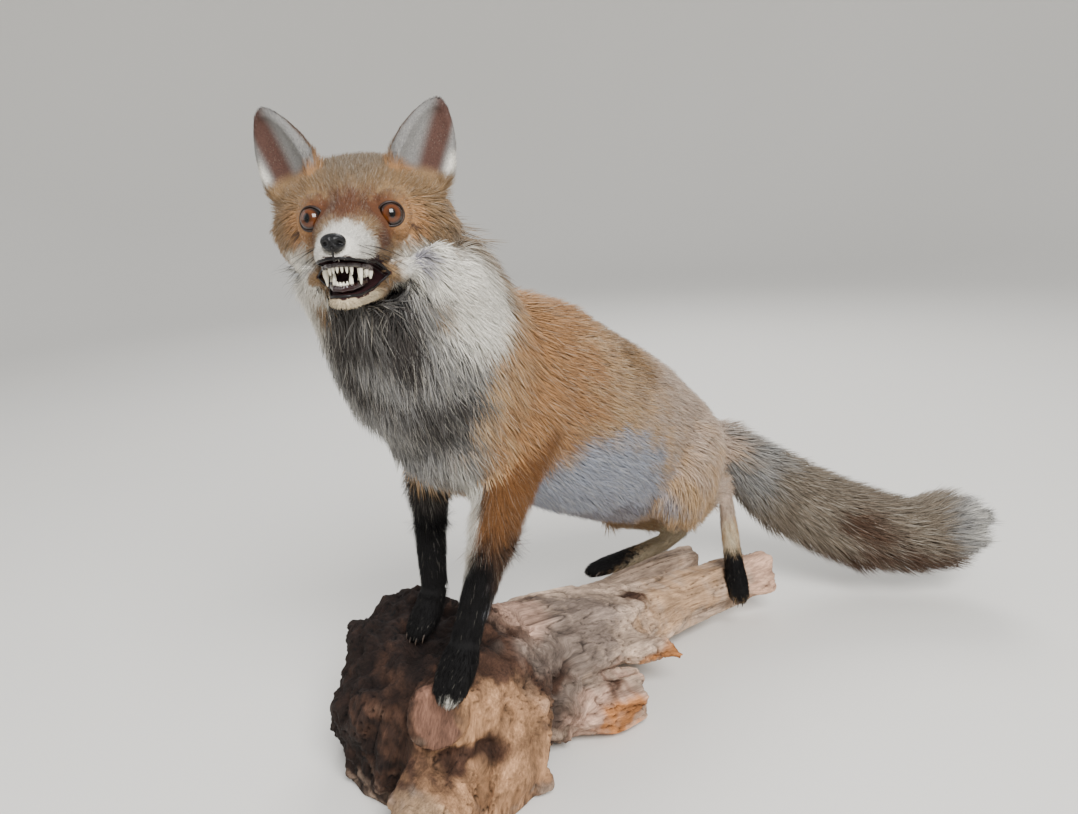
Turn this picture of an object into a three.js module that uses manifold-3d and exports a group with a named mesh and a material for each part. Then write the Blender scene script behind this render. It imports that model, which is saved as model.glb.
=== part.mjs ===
// Taxidermy fox on a driftwood base, life size, in millimetres, +Z up.
//
// The fox faces -Y, its own left is +X, and the wood stands on the level z = 0 of the drawing.
// The body and the wood are lofts: closed rings of given half sizes set along a smooth path. Eyes
// and nose are balls. Neighbours are parted by cutting one with a slightly grown copy of the other,
// which leaves a thin gap. The sizes are those of the outline at the tips of the coat.
// The last lines move the finished group so that its origin is the centre of its box, at the bottom.

import * as THREE from 'three';
import { mergeVertices } from 'three/addons/utils/BufferGeometryUtils.js';
import Module from 'manifold-3d';

const wasm = await Module();
wasm.setup();

// ---------------------------------------------------------------- driving dimensions (mm, degrees)

const GAP = 0.35;               // clearance between neighbouring pieces

const HEAD_PLACE = { x: 43, y: -356, z: 555 };   // the point midway between the eyes
const HEAD_YAW = 40;            // the head looks to the fox's left
const HEAD_PITCH = 5;           // and a little up

const EYE = { x: 27.5, y: -9, z: 0, radius: 9.3 };
const ORBIT = { forward: 6, inward: 3, radius: 10.5 };   // the hollow of the face before each eye
const NOSE = { y: -80, z: -18, width: 9, height: 7, depth: 8 };
const EAR = { x: 44, y: 26, z: 24, height: 62, width: 27, lean: 19, turn: 24 };
const GUM = { across: 2.4, tall: 2.2 };

const WOOD = { reach: 600, top: 400, under: -50 };   // the block that the wood is trimmed to
const SAME_POINT = 1e-4;        // vertices nearer than this are one

// ---------------------------------------------------------------- small helpers

const radians = THREE.MathUtils.degToRad;

// Closed mesh of rings joined to each other and fanned at both ends.
function closedRings(rings) {
  const sides = rings[0].length;
  const position = [];
  const index = [];
  rings.forEach((ring) => ring.forEach((point) => position.push(point.x, point.y, point.z)));
  for (let r = 0; r < rings.length - 1; r += 1) {
    for (let s = 0; s < sides; s += 1) {
      const a = r * sides + s;
      const b = r * sides + ((s + 1) % sides);
      index.push(a, b, b + sides);
      index.push(a, b + sides, a + sides);
    }
  }
  const ends = [rings[0], rings[rings.length - 1]];
  ends.forEach((ring, end) => {
    const centre = ring.reduce((sum, point) => sum.add(point), new THREE.Vector3()).divideScalar(sides);
    const pole = position.length / 3;
    const start = end * (rings.length - 1) * sides;
    position.push(centre.x, centre.y, centre.z);
    for (let s = 0; s < sides; s += 1) {
      const a = start + s;
      const b = start + ((s + 1) % sides);
      index.push(...(end === 0 ? [pole, b, a] : [pole, a, b]));
    }
  });
  const geometry = new THREE.BufferGeometry();
  geometry.setAttribute('position', new THREE.Float32BufferAttribute(position, 3));
  geometry.setIndex(index);
  return geometry;
}

function toSolid(geometry) {
  const bare = geometry.clone();
  ['normal', 'uv'].forEach((name) => bare.deleteAttribute(name));
  const merged = mergeVertices(bare, SAME_POINT);
  return new wasm.Manifold(new wasm.Mesh({
    numProp: 3,
    vertProperties: new Float32Array(merged.attributes.position.array),
    triVerts: new Uint32Array(merged.index.array),
  }));
}

function toGeometry(solid) {
  const mesh = solid.getMesh();
  const geometry = new THREE.BufferGeometry();
  geometry.setAttribute('position', new THREE.BufferAttribute(new Float32Array(mesh.vertProperties), 3));
  geometry.setIndex(new THREE.BufferAttribute(new Uint32Array(mesh.triVerts), 1));
  return geometry;
}

// Loft along a smooth path. A station is { at: [x, y, z], wide, up, down }: half width along `side`,
// and the half heights to either side of the path, square to both. `grow` fattens the whole body,
// and `lumps` scales each point of a ring by a function of its angle and its place on the path.
function loft(stations, { side = [1, 0, 0], sides = 20, grow = 0, lumps = null } = {}) {
  const places = stations.map((s) => new THREE.Vector3(...s.at));
  const path = new THREE.CatmullRomCurve3(places, false, 'centripetal');
  const sizes = ['wide', 'up', 'down'].map((key) => {
    const points = stations.map((s, i) => new THREE.Vector3(i, s[key] ?? s.up ?? s.wide, 0));
    return new THREE.CatmullRomCurve3(points, false, 'catmullrom', 0.5);
  });
  const sideways = new THREE.Vector3(...side);
  const count = stations.length - 1;
  const rings = [];
  for (let i = 0; i <= count; i += 1) {
    const t = i / count;
    const centre = path.getPoint(t);
    const along = path.getTangent(t);
    const width = sideways.clone().addScaledVector(along, -sideways.dot(along)).normalize();
    const height = new THREE.Vector3().crossVectors(width, along).normalize();
    if (i === 0) centre.addScaledVector(along, -grow);
    if (i === count) centre.addScaledVector(along, grow);
    const [wide, up, down] = sizes.map((curve) => Math.max(curve.getPoint(t).y, 0.5) + grow);
    const ring = [];
    for (let k = 0; k < sides; k += 1) {
      const angle = (2 * Math.PI * k) / sides;
      const lump = lumps ? lumps(angle, t) : 1;
      const x = Math.cos(angle) * wide * lump;
      const y = Math.sin(angle) * (Math.sin(angle) > 0 ? up : down) * lump;
      ring.push(centre.clone().addScaledVector(width, x).addScaledVector(height, y));
    }
    rings.push(ring);
  }
  const solid = toSolid(closedRings(rings));
  if (solid.volume() > 0) return solid;
  return toSolid(closedRings(rings.map((ring) => [...ring].reverse())));
}

// Rows of [x, y, z, half width, half height up, half height down] as stations.
const rows = (list) => list.map(([x, y, z, wide, up, down]) => ({ at: [x, y, z], wide, up, down }));

function ball(place, radii, segments) {
  const geometry = new THREE.SphereGeometry(1, segments, Math.round(segments * 0.6));
  geometry.scale(...radii);
  geometry.translate(...place);
  return toSolid(geometry);
}

// The block above the level z = low, wide enough for all the wood.
function blockAbove(low) {
  const height = WOOD.top - low;
  const geometry = new THREE.BoxGeometry(2 * WOOD.reach, 2 * WOOD.reach, height);
  geometry.translate(0, 0, low + height / 2);
  return toSolid(geometry);
}

function moved(solid, matrix) {
  const geometry = toGeometry(solid);
  geometry.applyMatrix4(matrix);
  return toSolid(geometry);
}

const headMatrix = new THREE.Matrix4().makeTranslation(HEAD_PLACE.x, HEAD_PLACE.y, HEAD_PLACE.z)
  .multiply(new THREE.Matrix4().makeRotationZ(radians(HEAD_YAW)))
  .multiply(new THREE.Matrix4().makeRotationX(radians(-HEAD_PITCH)));

const inHeadFrame = (solid) => moved(solid, headMatrix);

const mirrorX = new THREE.Matrix4().makeScale(-1, 1, 1);

function mirrored(solid) {
  const geometry = toGeometry(solid);
  geometry.applyMatrix4(mirrorX);
  const index = geometry.index.array;
  for (let i = 0; i < index.length; i += 3) [index[i + 1], index[i + 2]] = [index[i + 2], index[i + 1]];
  return toSolid(geometry);
}

// ---------------------------------------------------------------- head, in its own frame

// From the tip of the muzzle back to the nape; the eyes are level with y = 0.
const SKULL = rows([
  [0, -79, -24, 8, 7, 6],
  [0, -73, -25, 14.5, 12, 11],
  [0, -60, -26, 18, 15.5, 13],
  [0, -42, -24, 21, 19, 17],
  [0, -26, -19, 26, 23, 22],
  [0, -13, -13, 33, 28, 30],
  [0, -1, -9, 43, 34, 38],
  [0, 12, -6, 55, 42, 46],
  [0, 28, -3, 67, 49, 54],
  [0, 46, -2, 74, 52, 60],
  [0, 64, -4, 71, 50, 60],
  [0, 82, -8, 58, 42, 50],
  [0, 94, -12, 36, 26, 34],
]);

const JAW = rows([
  [0, -67, -54, 6, 3.5, 4],
  [0, -62, -55, 11, 4.5, 6],
  [0, -47, -54, 14.5, 6, 8],
  [0, -29, -51, 19, 7, 11],
  [0, -8, -47, 27, 9, 15],
  [0, 12, -43, 36, 12, 20],
]);

// The open mouth: a wedge from the front of the lips to the corners below the eyes.
const MOUTH = rows([
  [0, -84, -40, 30, 11.5, 10],
  [0, -60, -40, 30, 10, 9],
  [0, -36, -40, 34, 5.5, 5],
  [0, -14, -39.5, 42, 1.2, 1.2],
]);

function jawShape(grow) {
  return loft(JAW, { sides: 16, grow });
}

function orbit(sign) {
  const x = sign * (EYE.x - ORBIT.inward);
  return ball([x, EYE.y - ORBIT.forward, EYE.z], [ORBIT.radius, ORBIT.radius, ORBIT.radius], 10);
}

function skullShape(grow) {
  const whole = loft(SKULL, { sides: 22, grow });
  if (grow) return whole;
  return whole.subtract(loft(MOUTH, { sides: 14 })).subtract(orbit(1)).subtract(orbit(-1));
}

function eyeShape(sign, grow) {
  const radius = EYE.radius + grow;
  return ball([sign * EYE.x, EYE.y, EYE.z], [radius, radius, radius], 14);
}

function noseShape(grow) {
  return ball([0, NOSE.y, NOSE.z], [NOSE.width + grow, NOSE.depth + grow, NOSE.height + grow], 12);
}

// One ear: a leaning cone, hollowed from the front.
const earMatrix = new THREE.Matrix4().makeTranslation(EAR.x, EAR.y, EAR.z)
  .multiply(new THREE.Matrix4().makeRotationY(radians(EAR.lean)))
  .multiply(new THREE.Matrix4().makeRotationZ(radians(EAR.turn)));

function earShape() {
  const outer = loft(rows([
    [0, 0, -22, EAR.width - 3, 15, 15],
    [0, 0, 0, EAR.width, 15, 15],
    [0, 0, 18, EAR.width, 13, 13],
    [0, -1, 34, EAR.width - 4, 10, 10],
    [0, -2, 47, EAR.width - 10, 7, 7],
    [0, -3, 57, EAR.width - 17, 4.5, 4.5],
    [0, -3, EAR.height, 4, 3, 3],
  ]), { sides: 18 });
  return moved(outer, earMatrix);
}

function earHollow() {
  const inner = loft(rows([
    [0, -16, -2, EAR.width - 9, 8, 12],
    [0, -14, 16, EAR.width - 5, 10, 14],
    [0, -13, 32, EAR.width - 8, 9, 12],
    [0, -11, 47, EAR.width - 14, 8, 9],
    [0, -8, 56, 4, 4, 4],
  ]), { sides: 14 });
  return moved(inner, earMatrix);
}

const earLeft = earShape().subtract(earHollow());
const earRight = mirrored(earLeft);

// Teeth stand in a curved gum. A tooth is [place along the arch, length, radius]; the arch runs from
// the front incisors (0) to the cheek teeth (1.5) on either side.
const ARCH = {
  upper: {
    front: -69, width: 15.5, depth: 34, level: -31.5, slope: -0.16, points: -1,
    teeth: [[0.1, 4, 1.3], [0.29, 4.2, 1.3], [0.48, 5, 1.5], [0.82, 11, 2.2], [1.1, 5, 2.1], [1.34, 5.5, 2.5]],
  },
  lower: {
    front: -65.5, width: 11, depth: 32, level: -49, slope: 0.18, points: 1,
    teeth: [[0.1, 3.2, 1.2], [0.3, 3.2, 1.2], [0.52, 9, 1.8], [1.0, 4, 2], [1.3, 4.5, 2.3]],
  },
};
function archPoint(arch, t) {
  const x = arch.width * Math.sin(t);
  const y = arch.front + arch.depth * (1 - Math.cos(t));
  return [x, y, arch.level + arch.slope * (y - arch.front)];
}

function gum(arch, grow = 0) {
  const path = [-1.4, -1.0, -0.5, 0, 0.5, 1.0, 1.4].map((t) => (
    { at: archPoint(arch, t), wide: GUM.tall, up: GUM.across, down: GUM.across }));
  return loft(path, { side: [0, 0, 1], sides: 6, grow });
}

function toothRow(arch) {
  const cones = arch.teeth.flatMap(([place, length, radius]) => [place, -place].map((t) => {
    const [x, y, z] = archPoint(arch, t);
    const top = z + arch.points * (GUM.tall + length * 0.45);
    const tip = z + arch.points * (GUM.tall + length);
    return loft([
      { at: [x, y, z], wide: radius, up: radius },
      { at: [x, y, top], wide: radius * 0.8, up: radius * 0.8 },
      { at: [x, y + length * 0.08, tip], wide: radius * 0.25, up: radius * 0.25 },
    ], { sides: 5 });
  }));
  return cones.reduce((row, cone) => row.add(cone), gum(arch));
}

// ---------------------------------------------------------------- body, in the fox's frame

const NECK = rows([
  [24, -334, 548, 62, 44, 56],
  [8, -308, 518, 78, 74, 70],
  [0, -280, 478, 86, 88, 78],
  [-2, -258, 434, 84, 98, 80],
  [0, -228, 396, 78, 100, 80],
  [0, -190, 372, 66, 84, 70],
]);

const TRUNK = rows([
  [0, -296, 372, 34, 42, 36],
  [0, -276, 376, 60, 74, 62],
  [0, -236, 380, 72, 96, 84],
  [0, -180, 374, 76, 106, 98],
  [0, -120, 354, 76, 107, 102],
  [0, -60, 324, 73, 104, 104],
  [0, 0, 296, 69, 101, 106],
  [0, 60, 268, 65, 95, 104],
  [0, 112, 244, 63, 82, 92],
  [0, 158, 226, 58, 70, 76],
  [0, 195, 212, 48, 56, 60],
  [0, 222, 204, 32, 38, 40],
]);

const TAIL = rows([
  [2, 196, 232, 30, 30, 30],
  [18, 226, 214, 38, 38, 40],
  [48, 250, 182, 42, 46, 46],
  [86, 275, 145, 48, 55, 55],
  [131, 302, 115, 52, 57, 57],
  [176, 326, 94, 54, 58, 59],
  [221, 350, 86, 52, 52, 54],
  [262, 374, 92, 50, 54, 56],
  [290, 392, 102, 38, 42, 44],
  [306, 402, 110, 14, 18, 18],
]);

const TAIL_SIDE = [0.64, -0.77, 0];

const FORELEG_LEFT = rows([
  [46, -176, 380, 34, 46, 46],
  [45, -206, 334, 32, 42, 38],
  [47, -229, 296, 27, 33, 30],
  [47, -247, 258, 21, 26, 24],
  [47, -263, 224, 16, 18, 17],
  [46, -276, 200, 14, 15, 14],
  [46, -285, 182, 14, 14, 14],
]);

const FOREPAW_LEFT = rows([
  [46, -285, 181, 13.5, 13.5, 13.5],
  [48, -295, 169, 18, 15, 15],
  [51, -307, 158, 20, 13, 14],
  [53, -318, 147, 18, 11, 11],
  [54, -324, 139, 10, 7, 7],
]);

const FORELEG_RIGHT = rows([
  [-44, -178, 372, 34, 44, 44],
  [-43, -212, 336, 30, 38, 36],
  [-43, -230, 302, 25, 29, 28],
  [-44, -233, 256, 18, 19, 18],
  [-46, -233, 215, 14.5, 15, 15],
  [-45, -234, 190, 13.5, 14, 14],
]);

const FOREPAW_RIGHT = rows([
  [-45, -234, 188, 13, 13.5, 13.5],
  [-44, -243, 171, 16, 14, 13],
  [-42, -254, 161, 17.5, 12, 12],
  [-40, -266, 153, 15, 9, 9],
  [-39, -273, 148, 8, 5, 5],
]);

const THIGH_LEFT = rows([
  [26, 150, 258, 36, 42, 46],
  [40, 122, 240, 42, 52, 58],
  [50, 90, 216, 38, 50, 54],
  [56, 58, 198, 28, 38, 38],
  [58, 34, 188, 13, 18, 18],
]);

const SHANK_LEFT = rows([
  [60, 66, 180, 20, 24, 24],
  [60, 100, 178, 18, 21, 24],
  [59, 136, 180, 15, 17, 19],
  [57, 162, 184, 12, 14, 14],
]);

const FOOT_LEFT = rows([
  [53, 178, 196, 7, 8, 8],
  [57, 173, 181, 12, 13, 12],
  [67, 163, 148, 12, 12, 12],
  [78, 152, 114, 12, 12, 12],
  [86, 145, 88, 13, 12, 12],
  [93, 139, 68, 15, 12, 11],
  [98, 135, 54, 14, 10, 9],
  [100, 133, 46, 8, 5, 5],
]);

const THIGH_RIGHT = rows([
  [-26, 150, 256, 36, 42, 46],
  [-40, 122, 234, 42, 52, 58],
  [-48, 92, 206, 38, 48, 52],
  [-52, 62, 184, 27, 36, 38],
  [-52, 42, 170, 13, 18, 18],
]);

const SHANK_RIGHT = rows([
  [-50, 66, 158, 19, 22, 22],
  [-42, 104, 142, 17, 20, 20],
  [-30, 144, 124, 14, 16, 16],
  [-20, 174, 112, 12, 13, 13],
]);

const FOOT_RIGHT = rows([
  [-11, 198, 106, 8, 9, 9],
  [-15, 186, 99, 12, 13, 12],
  [-22, 156, 90, 13, 13, 12],
  [-30, 120, 90, 13, 12, 11],
  [-38, 84, 91, 14, 12, 11],
  [-44, 58, 92, 16, 12, 11],
  [-48, 38, 92, 14, 9, 9],
  [-50, 26, 90, 8, 5, 5],
]);

function limb(stations) {
  return (grow) => loft(stations, { sides: 14, grow });
}

// ---------------------------------------------------------------- driftwood

// The stump carries the forefeet; the log runs back from it under the hind feet.

const lumpy = (a, b, c) => (angle, t) => 1
  + 0.07 * Math.sin(3 * angle + a + 5 * t)
  + 0.05 * Math.sin(5 * angle - b + 9 * t)
  + 0.03 * Math.sin(8 * angle + c - 14 * t);

const STUMP = rows([
  [-34, -240, -12, 110, 92, 88],
  [-38, -242, 20, 116, 96, 92],
  [-42, -244, 60, 116, 96, 94],
  [-44, -246, 100, 110, 92, 88],
  [-43, -248, 128, 94, 80, 78],
  [-42, -250, 144, 62, 54, 54],
]);

const LOG = rows([
  [-20, -190, 88, 66, 54, 58],
  [-2, -120, 84, 66, 44, 58],
  [4, -50, 76, 60, 34, 50],
  [8, 20, 62, 52, 27, 42],
  [26, 96, 56, 42, 24, 36],
  [58, 160, 54, 33, 25, 30],
  [94, 214, 54, 28, 25, 26],
]);

const SHELF = rows([
  [-36, -70, 58, 34, 30, 40],
  [-40, 20, 52, 29, 25, 36],
  [-36, 90, 51, 26, 25, 32],
  [-22, 160, 52, 24, 23, 28],
  [-8, 208, 54, 15, 15, 18],
]);

const ROOT_RIGHT = rows([
  [0, -180, 70, 60, 50, 60],
  [36, -146, 40, 42, 36, 42],
  [70, -104, 30, 34, 28, 30],
  [92, -78, 30, 24, 22, 24],
]);

const ROOT_FRONT = rows([
  [-20, -250, 70, 50, 50, 50],
  [14, -300, 40, 38, 36, 40],
  [34, -336, 24, 33, 30, 34],
  [44, -352, 18, 31, 27, 30],
]);

const ROOT_TIP = rows([
  [10, -230, 62, 34, 34, 44],
  [54, -234, 32, 20, 24, 28],
  [84, -236, 6, 6, 8, 8],
]);

const ROOT_BACK = rows([
  [-20, -60, 70, 42, 34, 50],
  [-48, 20, 34, 34, 26, 40],
  [-66, 84, 12, 28, 20, 24],
  [-72, 120, 2, 14, 10, 12],
]);

const STUB = rows([
  [-24, -262, 102, 36, 34, 36],
  [20, -304, 109, 29, 28, 30],
  [36, -321, 111, 27, 27, 28],
]);

const KNOLL = rows([
  [-98, -218, 40, 46, 40, 44],
  [-102, -222, 100, 44, 38, 42],
  [-104, -226, 140, 32, 30, 32],
  [-104, -228, 156, 18, 16, 16],
]);

const SPUR = rows([
  [40, -60, 66, 24, 24, 26],
  [80, -30, 58, 12, 12, 12],
  [104, -14, 48, 4, 4, 4],
]);

function driftwood(grow) {
  const wood = [
    loft(STUMP, { sides: 28, lumps: lumpy(0.4, 1.1, 2.0), grow }),
    loft(LOG, { sides: 22, lumps: lumpy(1.4, 0.3, 0.8), grow }),
    loft(SHELF, { sides: 14, lumps: lumpy(0.8, 2.3, 1.2), grow }),
    loft(ROOT_RIGHT, { sides: 18, lumps: lumpy(2.2, 0.9, 0.1), grow }),
    loft(ROOT_FRONT, { side: [1, 1, 0], sides: 18, lumps: lumpy(0.1, 2.9, 1.3), grow }),
    loft(ROOT_TIP, { side: [0, 1, 0], sides: 12, grow }),
    loft(ROOT_BACK, { sides: 16, lumps: lumpy(3.0, 1.9, 2.6), grow }),
    loft(STUB, { side: [1, 1, 0], sides: 18, grow }),
    loft(KNOLL, { sides: 14, lumps: lumpy(1.0, 0.2, 0.6), grow }),
    loft(SPUR, { side: [0, 1, 0], sides: 10, grow }),
  ].reduce((sum, piece) => sum.add(piece));
  return wood.intersect(blockAbove(grow ? WOOD.under : 0));
}

// ---------------------------------------------------------------- the parts, each cut clear of the last

const COLOURS = {
  tawny: 0xb98a5a,
  white: 0xd9d6cc,
  black: 0x2a2422,
  grey: 0x8f8577,
  amber: 0x8a4a12,
  nose: 0x15151a,
  ivory: 0xe8e0cc,
  wood: 0x9a6a45,
};

// The largest body of a cut piece; the slivers that a cut leaves beside it are dropped.
function mainBody(solid) {
  return solid.decompose().sort((a, b) => b.volume() - a.volume())[0];
}

const ROUGHNESS = { glass: 0.05, coat: 0.9 };
const group = new THREE.Group();

function addPart(name, solid, colour) {
  const roughness = colour === 'amber' ? ROUGHNESS.glass : ROUGHNESS.coat;
  const material = new THREE.MeshStandardMaterial({ color: COLOURS[colour], roughness, metalness: 0 });
  const mesh = new THREE.Mesh(toGeometry(mainBody(solid)), material);
  mesh.name = name;
  group.add(mesh);
}

// name, maker, colour: a maker takes the growth in mm and gives the uncut body. Each piece is cut by
// those above it in this list.
const PIECES = [
  ['base_driftwood', driftwood, 'wood'],
  ['eye_left', (grow) => inHeadFrame(eyeShape(1, grow)), 'amber'],
  ['eye_right', (grow) => inHeadFrame(eyeShape(-1, grow)), 'amber'],
  ['nose', (grow) => inHeadFrame(noseShape(grow)), 'nose'],
  ['teeth_upper', (grow) => inHeadFrame(grow ? gum(ARCH.upper, grow) : toothRow(ARCH.upper)), 'ivory'],
  ['teeth_lower', (grow) => inHeadFrame(grow ? gum(ARCH.lower, grow) : toothRow(ARCH.lower)), 'ivory'],
  ['jaw', (grow) => inHeadFrame(jawShape(grow)), 'white'],
  ['head', (grow) => inHeadFrame(skullShape(grow)), 'tawny'],
  ['ear_left', () => inHeadFrame(earLeft), 'grey'],
  ['ear_right', () => inHeadFrame(earRight), 'grey'],
  ['trunk', (grow) => loft(TRUNK, { sides: 22, grow }), 'tawny'],
  ['neck', (grow) => loft(NECK, { sides: 22, grow }), 'white'],
  ['tail', (grow) => loft(TAIL, { side: TAIL_SIDE, sides: 18, grow }), 'grey'],
  ['thigh_left', limb(THIGH_LEFT), 'tawny'],
  ['thigh_right', limb(THIGH_RIGHT), 'tawny'],
  ['shank_left', limb(SHANK_LEFT), 'tawny'],
  ['shank_right', limb(SHANK_RIGHT), 'tawny'],
  ['foot_left', limb(FOOT_LEFT), 'black'],
  ['foot_right', limb(FOOT_RIGHT), 'black'],
  ['foreleg_left', limb(FORELEG_LEFT), 'black'],
  ['foreleg_right', limb(FORELEG_RIGHT), 'black'],
  ['forepaw_left', limb(FOREPAW_LEFT), 'black'],
  ['forepaw_right', limb(FOREPAW_RIGHT), 'black'],
];

const keepOuts = [];
PIECES.forEach(([name, make, colour]) => {
  const solid = keepOuts.reduce((body, keepOut) => body.subtract(keepOut), make(0));
  addPart(name, solid, colour);
  keepOuts.push(make(GAP));
});

// The origin of the finished part: the centre of its box, at the bottom.
const bounds = new THREE.Box3().setFromObject(group);
const middle = bounds.getCenter(new THREE.Vector3());
group.position.set(-middle.x, -middle.y, -bounds.min.z);

export default group;
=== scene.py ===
# %% [markdown]
# # A mounted fox on driftwood
# A taxidermist stretches a tanned skin over a form, sets glass eyes and wires the feet to a base.
# This script follows the same order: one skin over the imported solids, the coat in tufts that lie the
# way hair lies, then eyes, nose, mouth and claws, and last the weathered wood.

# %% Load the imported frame
import math
from collections import namedtuple

import bmesh
import bpy
import numpy as np
from mathutils import Matrix, Vector, noise
from mathutils.bvhtree import BVHTree
from mathutils.kdtree import KDTree

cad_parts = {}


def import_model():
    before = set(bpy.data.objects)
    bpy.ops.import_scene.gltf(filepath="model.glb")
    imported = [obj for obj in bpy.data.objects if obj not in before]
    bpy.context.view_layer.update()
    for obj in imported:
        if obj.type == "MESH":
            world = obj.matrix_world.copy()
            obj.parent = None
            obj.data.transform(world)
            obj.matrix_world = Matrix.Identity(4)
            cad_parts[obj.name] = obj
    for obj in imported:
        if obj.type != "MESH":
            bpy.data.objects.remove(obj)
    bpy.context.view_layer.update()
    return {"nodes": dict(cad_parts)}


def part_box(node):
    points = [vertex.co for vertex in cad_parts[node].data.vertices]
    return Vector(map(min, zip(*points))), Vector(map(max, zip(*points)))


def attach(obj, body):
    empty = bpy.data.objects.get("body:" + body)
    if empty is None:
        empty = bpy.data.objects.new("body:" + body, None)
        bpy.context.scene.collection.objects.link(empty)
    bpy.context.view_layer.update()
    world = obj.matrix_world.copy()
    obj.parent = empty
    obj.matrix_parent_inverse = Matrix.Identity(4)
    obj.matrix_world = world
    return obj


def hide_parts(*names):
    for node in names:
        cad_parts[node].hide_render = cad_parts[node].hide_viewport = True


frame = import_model()
nodes = frame["nodes"]

# %% [markdown]
# ## Places on the animal
# The head was set on the neck turned to the left and a little up. Its details are given in
# millimetres from a point between the eyes, with -Y towards the nose. The body's details are given
# from the point that the solids were drawn from. Two matrices turn either into the model's metres.

# %% Head frame and body frame
MM = 0.001
HEAD_YAW = math.radians(40)
HEAD_PITCH = math.radians(5)
HEAD_PLACE = Vector((43, -356, 555))
EYE_FORWARD = 9
EYE_RADIUS = 9.3


def middle(name):
    """The centre of a solid's box."""
    low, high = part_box(name)
    return (low + high) / 2


eyes_middle = (middle("eye_left") + middle("eye_right")) / 2
head_turn = Matrix.Rotation(HEAD_YAW, 4, "Z") @ Matrix.Rotation(-HEAD_PITCH, 4, "X")
head_zero = eyes_middle + head_turn.to_3x3() @ Vector((0, EYE_FORWARD * MM, 0))
HEAD = Matrix.Translation(head_zero) @ head_turn @ Matrix.Scale(MM, 4)
BODY = Matrix.Translation(head_zero - HEAD_PLACE * MM) @ Matrix.Scale(MM, 4)


def local(points, matrix):
    """World points in metres as millimetres of the head or the body."""
    inverse = np.array(matrix.inverted())
    return points @ inverse[:3, :3].T + inverse[:3, 3]


def world(points, matrix):
    """Millimetres of the head or the body as world points in metres."""
    there = np.array(matrix)
    return np.asarray(points, float) @ there[:3, :3].T + there[:3, 3]


print("head zero:", [round(v, 4) for v in head_zero])

# %% [markdown]
# ## Camera
# The lens looks down on the fox from its front left, about level with its head, and is rolled
# slightly. Its place could be found by trial; here it is given in the millimetres of the body, with
# three plain angles, so each number can be read and changed alone.

# %% Camera
CAMERA_PLACE = (567, -786, 587)
CAMERA_YAW = math.radians(40)
CAMERA_DOWN = math.radians(15.31)
CAMERA_ROLL = math.radians(-3.5)
SENSOR = 36
IMAGE_WIDTH = 1078
FOCAL_PIXELS = 900

camera_data = bpy.data.cameras.new("camera")
camera_data.sensor_width = SENSOR
camera_data.lens = FOCAL_PIXELS / IMAGE_WIDTH * SENSOR
camera_data.clip_start = 0.02
camera = bpy.data.objects.new("camera", camera_data)
bpy.context.scene.collection.objects.link(camera)
camera_turn = (
    Matrix.Rotation(CAMERA_YAW, 4, "Z")
    @ Matrix.Rotation(math.pi / 2 - CAMERA_DOWN, 4, "X")
    @ Matrix.Rotation(CAMERA_ROLL, 4, "Z")
)
camera.matrix_world = Matrix.Translation(BODY @ Vector(CAMERA_PLACE)) @ camera_turn
bpy.context.scene.camera = camera
print("lens", round(camera_data.lens, 2), "mm")

# %% [markdown]
# ## Helpers
# Every piece needs an object, and most need a material built from the same few nodes. They could be
# written out each time; short functions keep the later cells to what is special about each piece.
# Paper, lids, lips and horn share one effect, a noise between two tones, so it is one node group.


# %% Helpers for objects and materials
def new_object(name, mesh):
    made = bpy.data.objects.new(name, mesh)
    bpy.context.scene.collection.objects.link(made)
    return made


def mesh_of(shape, name):
    """A smooth-shaded mesh from a bmesh, which is used up."""
    mesh = bpy.data.meshes.new(name)
    shape.to_mesh(mesh)
    shape.free()
    mesh.shade_smooth()
    return mesh


def placed(shape, name, matrix):
    """The same for a shape in millimetres: turned outwards and moved to its place on the animal."""
    bmesh.ops.recalc_face_normals(shape, faces=shape.faces)
    bmesh.ops.transform(shape, matrix=matrix, verts=shape.verts)
    return mesh_of(shape, name)


def linear(code):
    """A colour from its hex code, as linear light."""
    values = np.array([int(code[i:i + 2], 16) / 255 for i in (0, 2, 4)])
    return np.where(values <= 0.04045, values / 12.92, ((values + 0.055) / 1.055) ** 2.4)


def add(tree, kind, inputs=(), **settings):
    """A new shader node: inputs by name or number take a value or another node's output."""
    made = tree.nodes.new("ShaderNode" + kind)
    for key, value in settings.items():
        setattr(made, key, value)
    for key, value in dict(inputs).items():
        if isinstance(value, bpy.types.NodeSocket):
            tree.links.new(value, made.inputs[key])
        else:
            made.inputs[key].default_value = value
    return made


def object_place(tree):
    """Object coordinates, for a pattern that keeps its size in metres."""
    return add(tree, "TexCoord").outputs["Object"]


def material(name, **constants):
    """A material with a Principled shader; constants are plain socket values."""
    made = bpy.data.materials.new(name)
    made.use_nodes = True
    tree = made.node_tree
    tree.nodes.clear()
    output = add(tree, "OutputMaterial")
    shader = add(tree, "BsdfPrincipled", {k.replace("_", " "): v for k, v in constants.items()})
    tree.links.new(shader.outputs["BSDF"], output.inputs["Surface"])
    return made, tree, shader


def ramp(tree, factor, stops):
    """A colour ramp from (position, hex colour) stops."""
    made = add(tree, "ValToRGB", {"Fac": factor})
    elements = made.color_ramp.elements
    while len(elements) < len(stops):
        elements.new(0.5)
    for element, (position, code) in zip(elements, stops):
        element.position = position
        element.color = (*linear(code), 1)
    return made.outputs["Color"]


def node_group(name, inputs, outputs):
    """An empty node group with its given and resulting sockets; each socket is name: kind."""
    group = bpy.data.node_groups.new(name, "ShaderNodeTree")
    for way, sockets in (("INPUT", inputs), ("OUTPUT", outputs)):
        for socket, kind in sockets.items():
            group.interface.new_socket(socket, in_out=way, socket_type="NodeSocket" + kind)
    return group, group.nodes.new("NodeGroupInput").outputs, group.nodes.new("NodeGroupOutput").inputs


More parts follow.
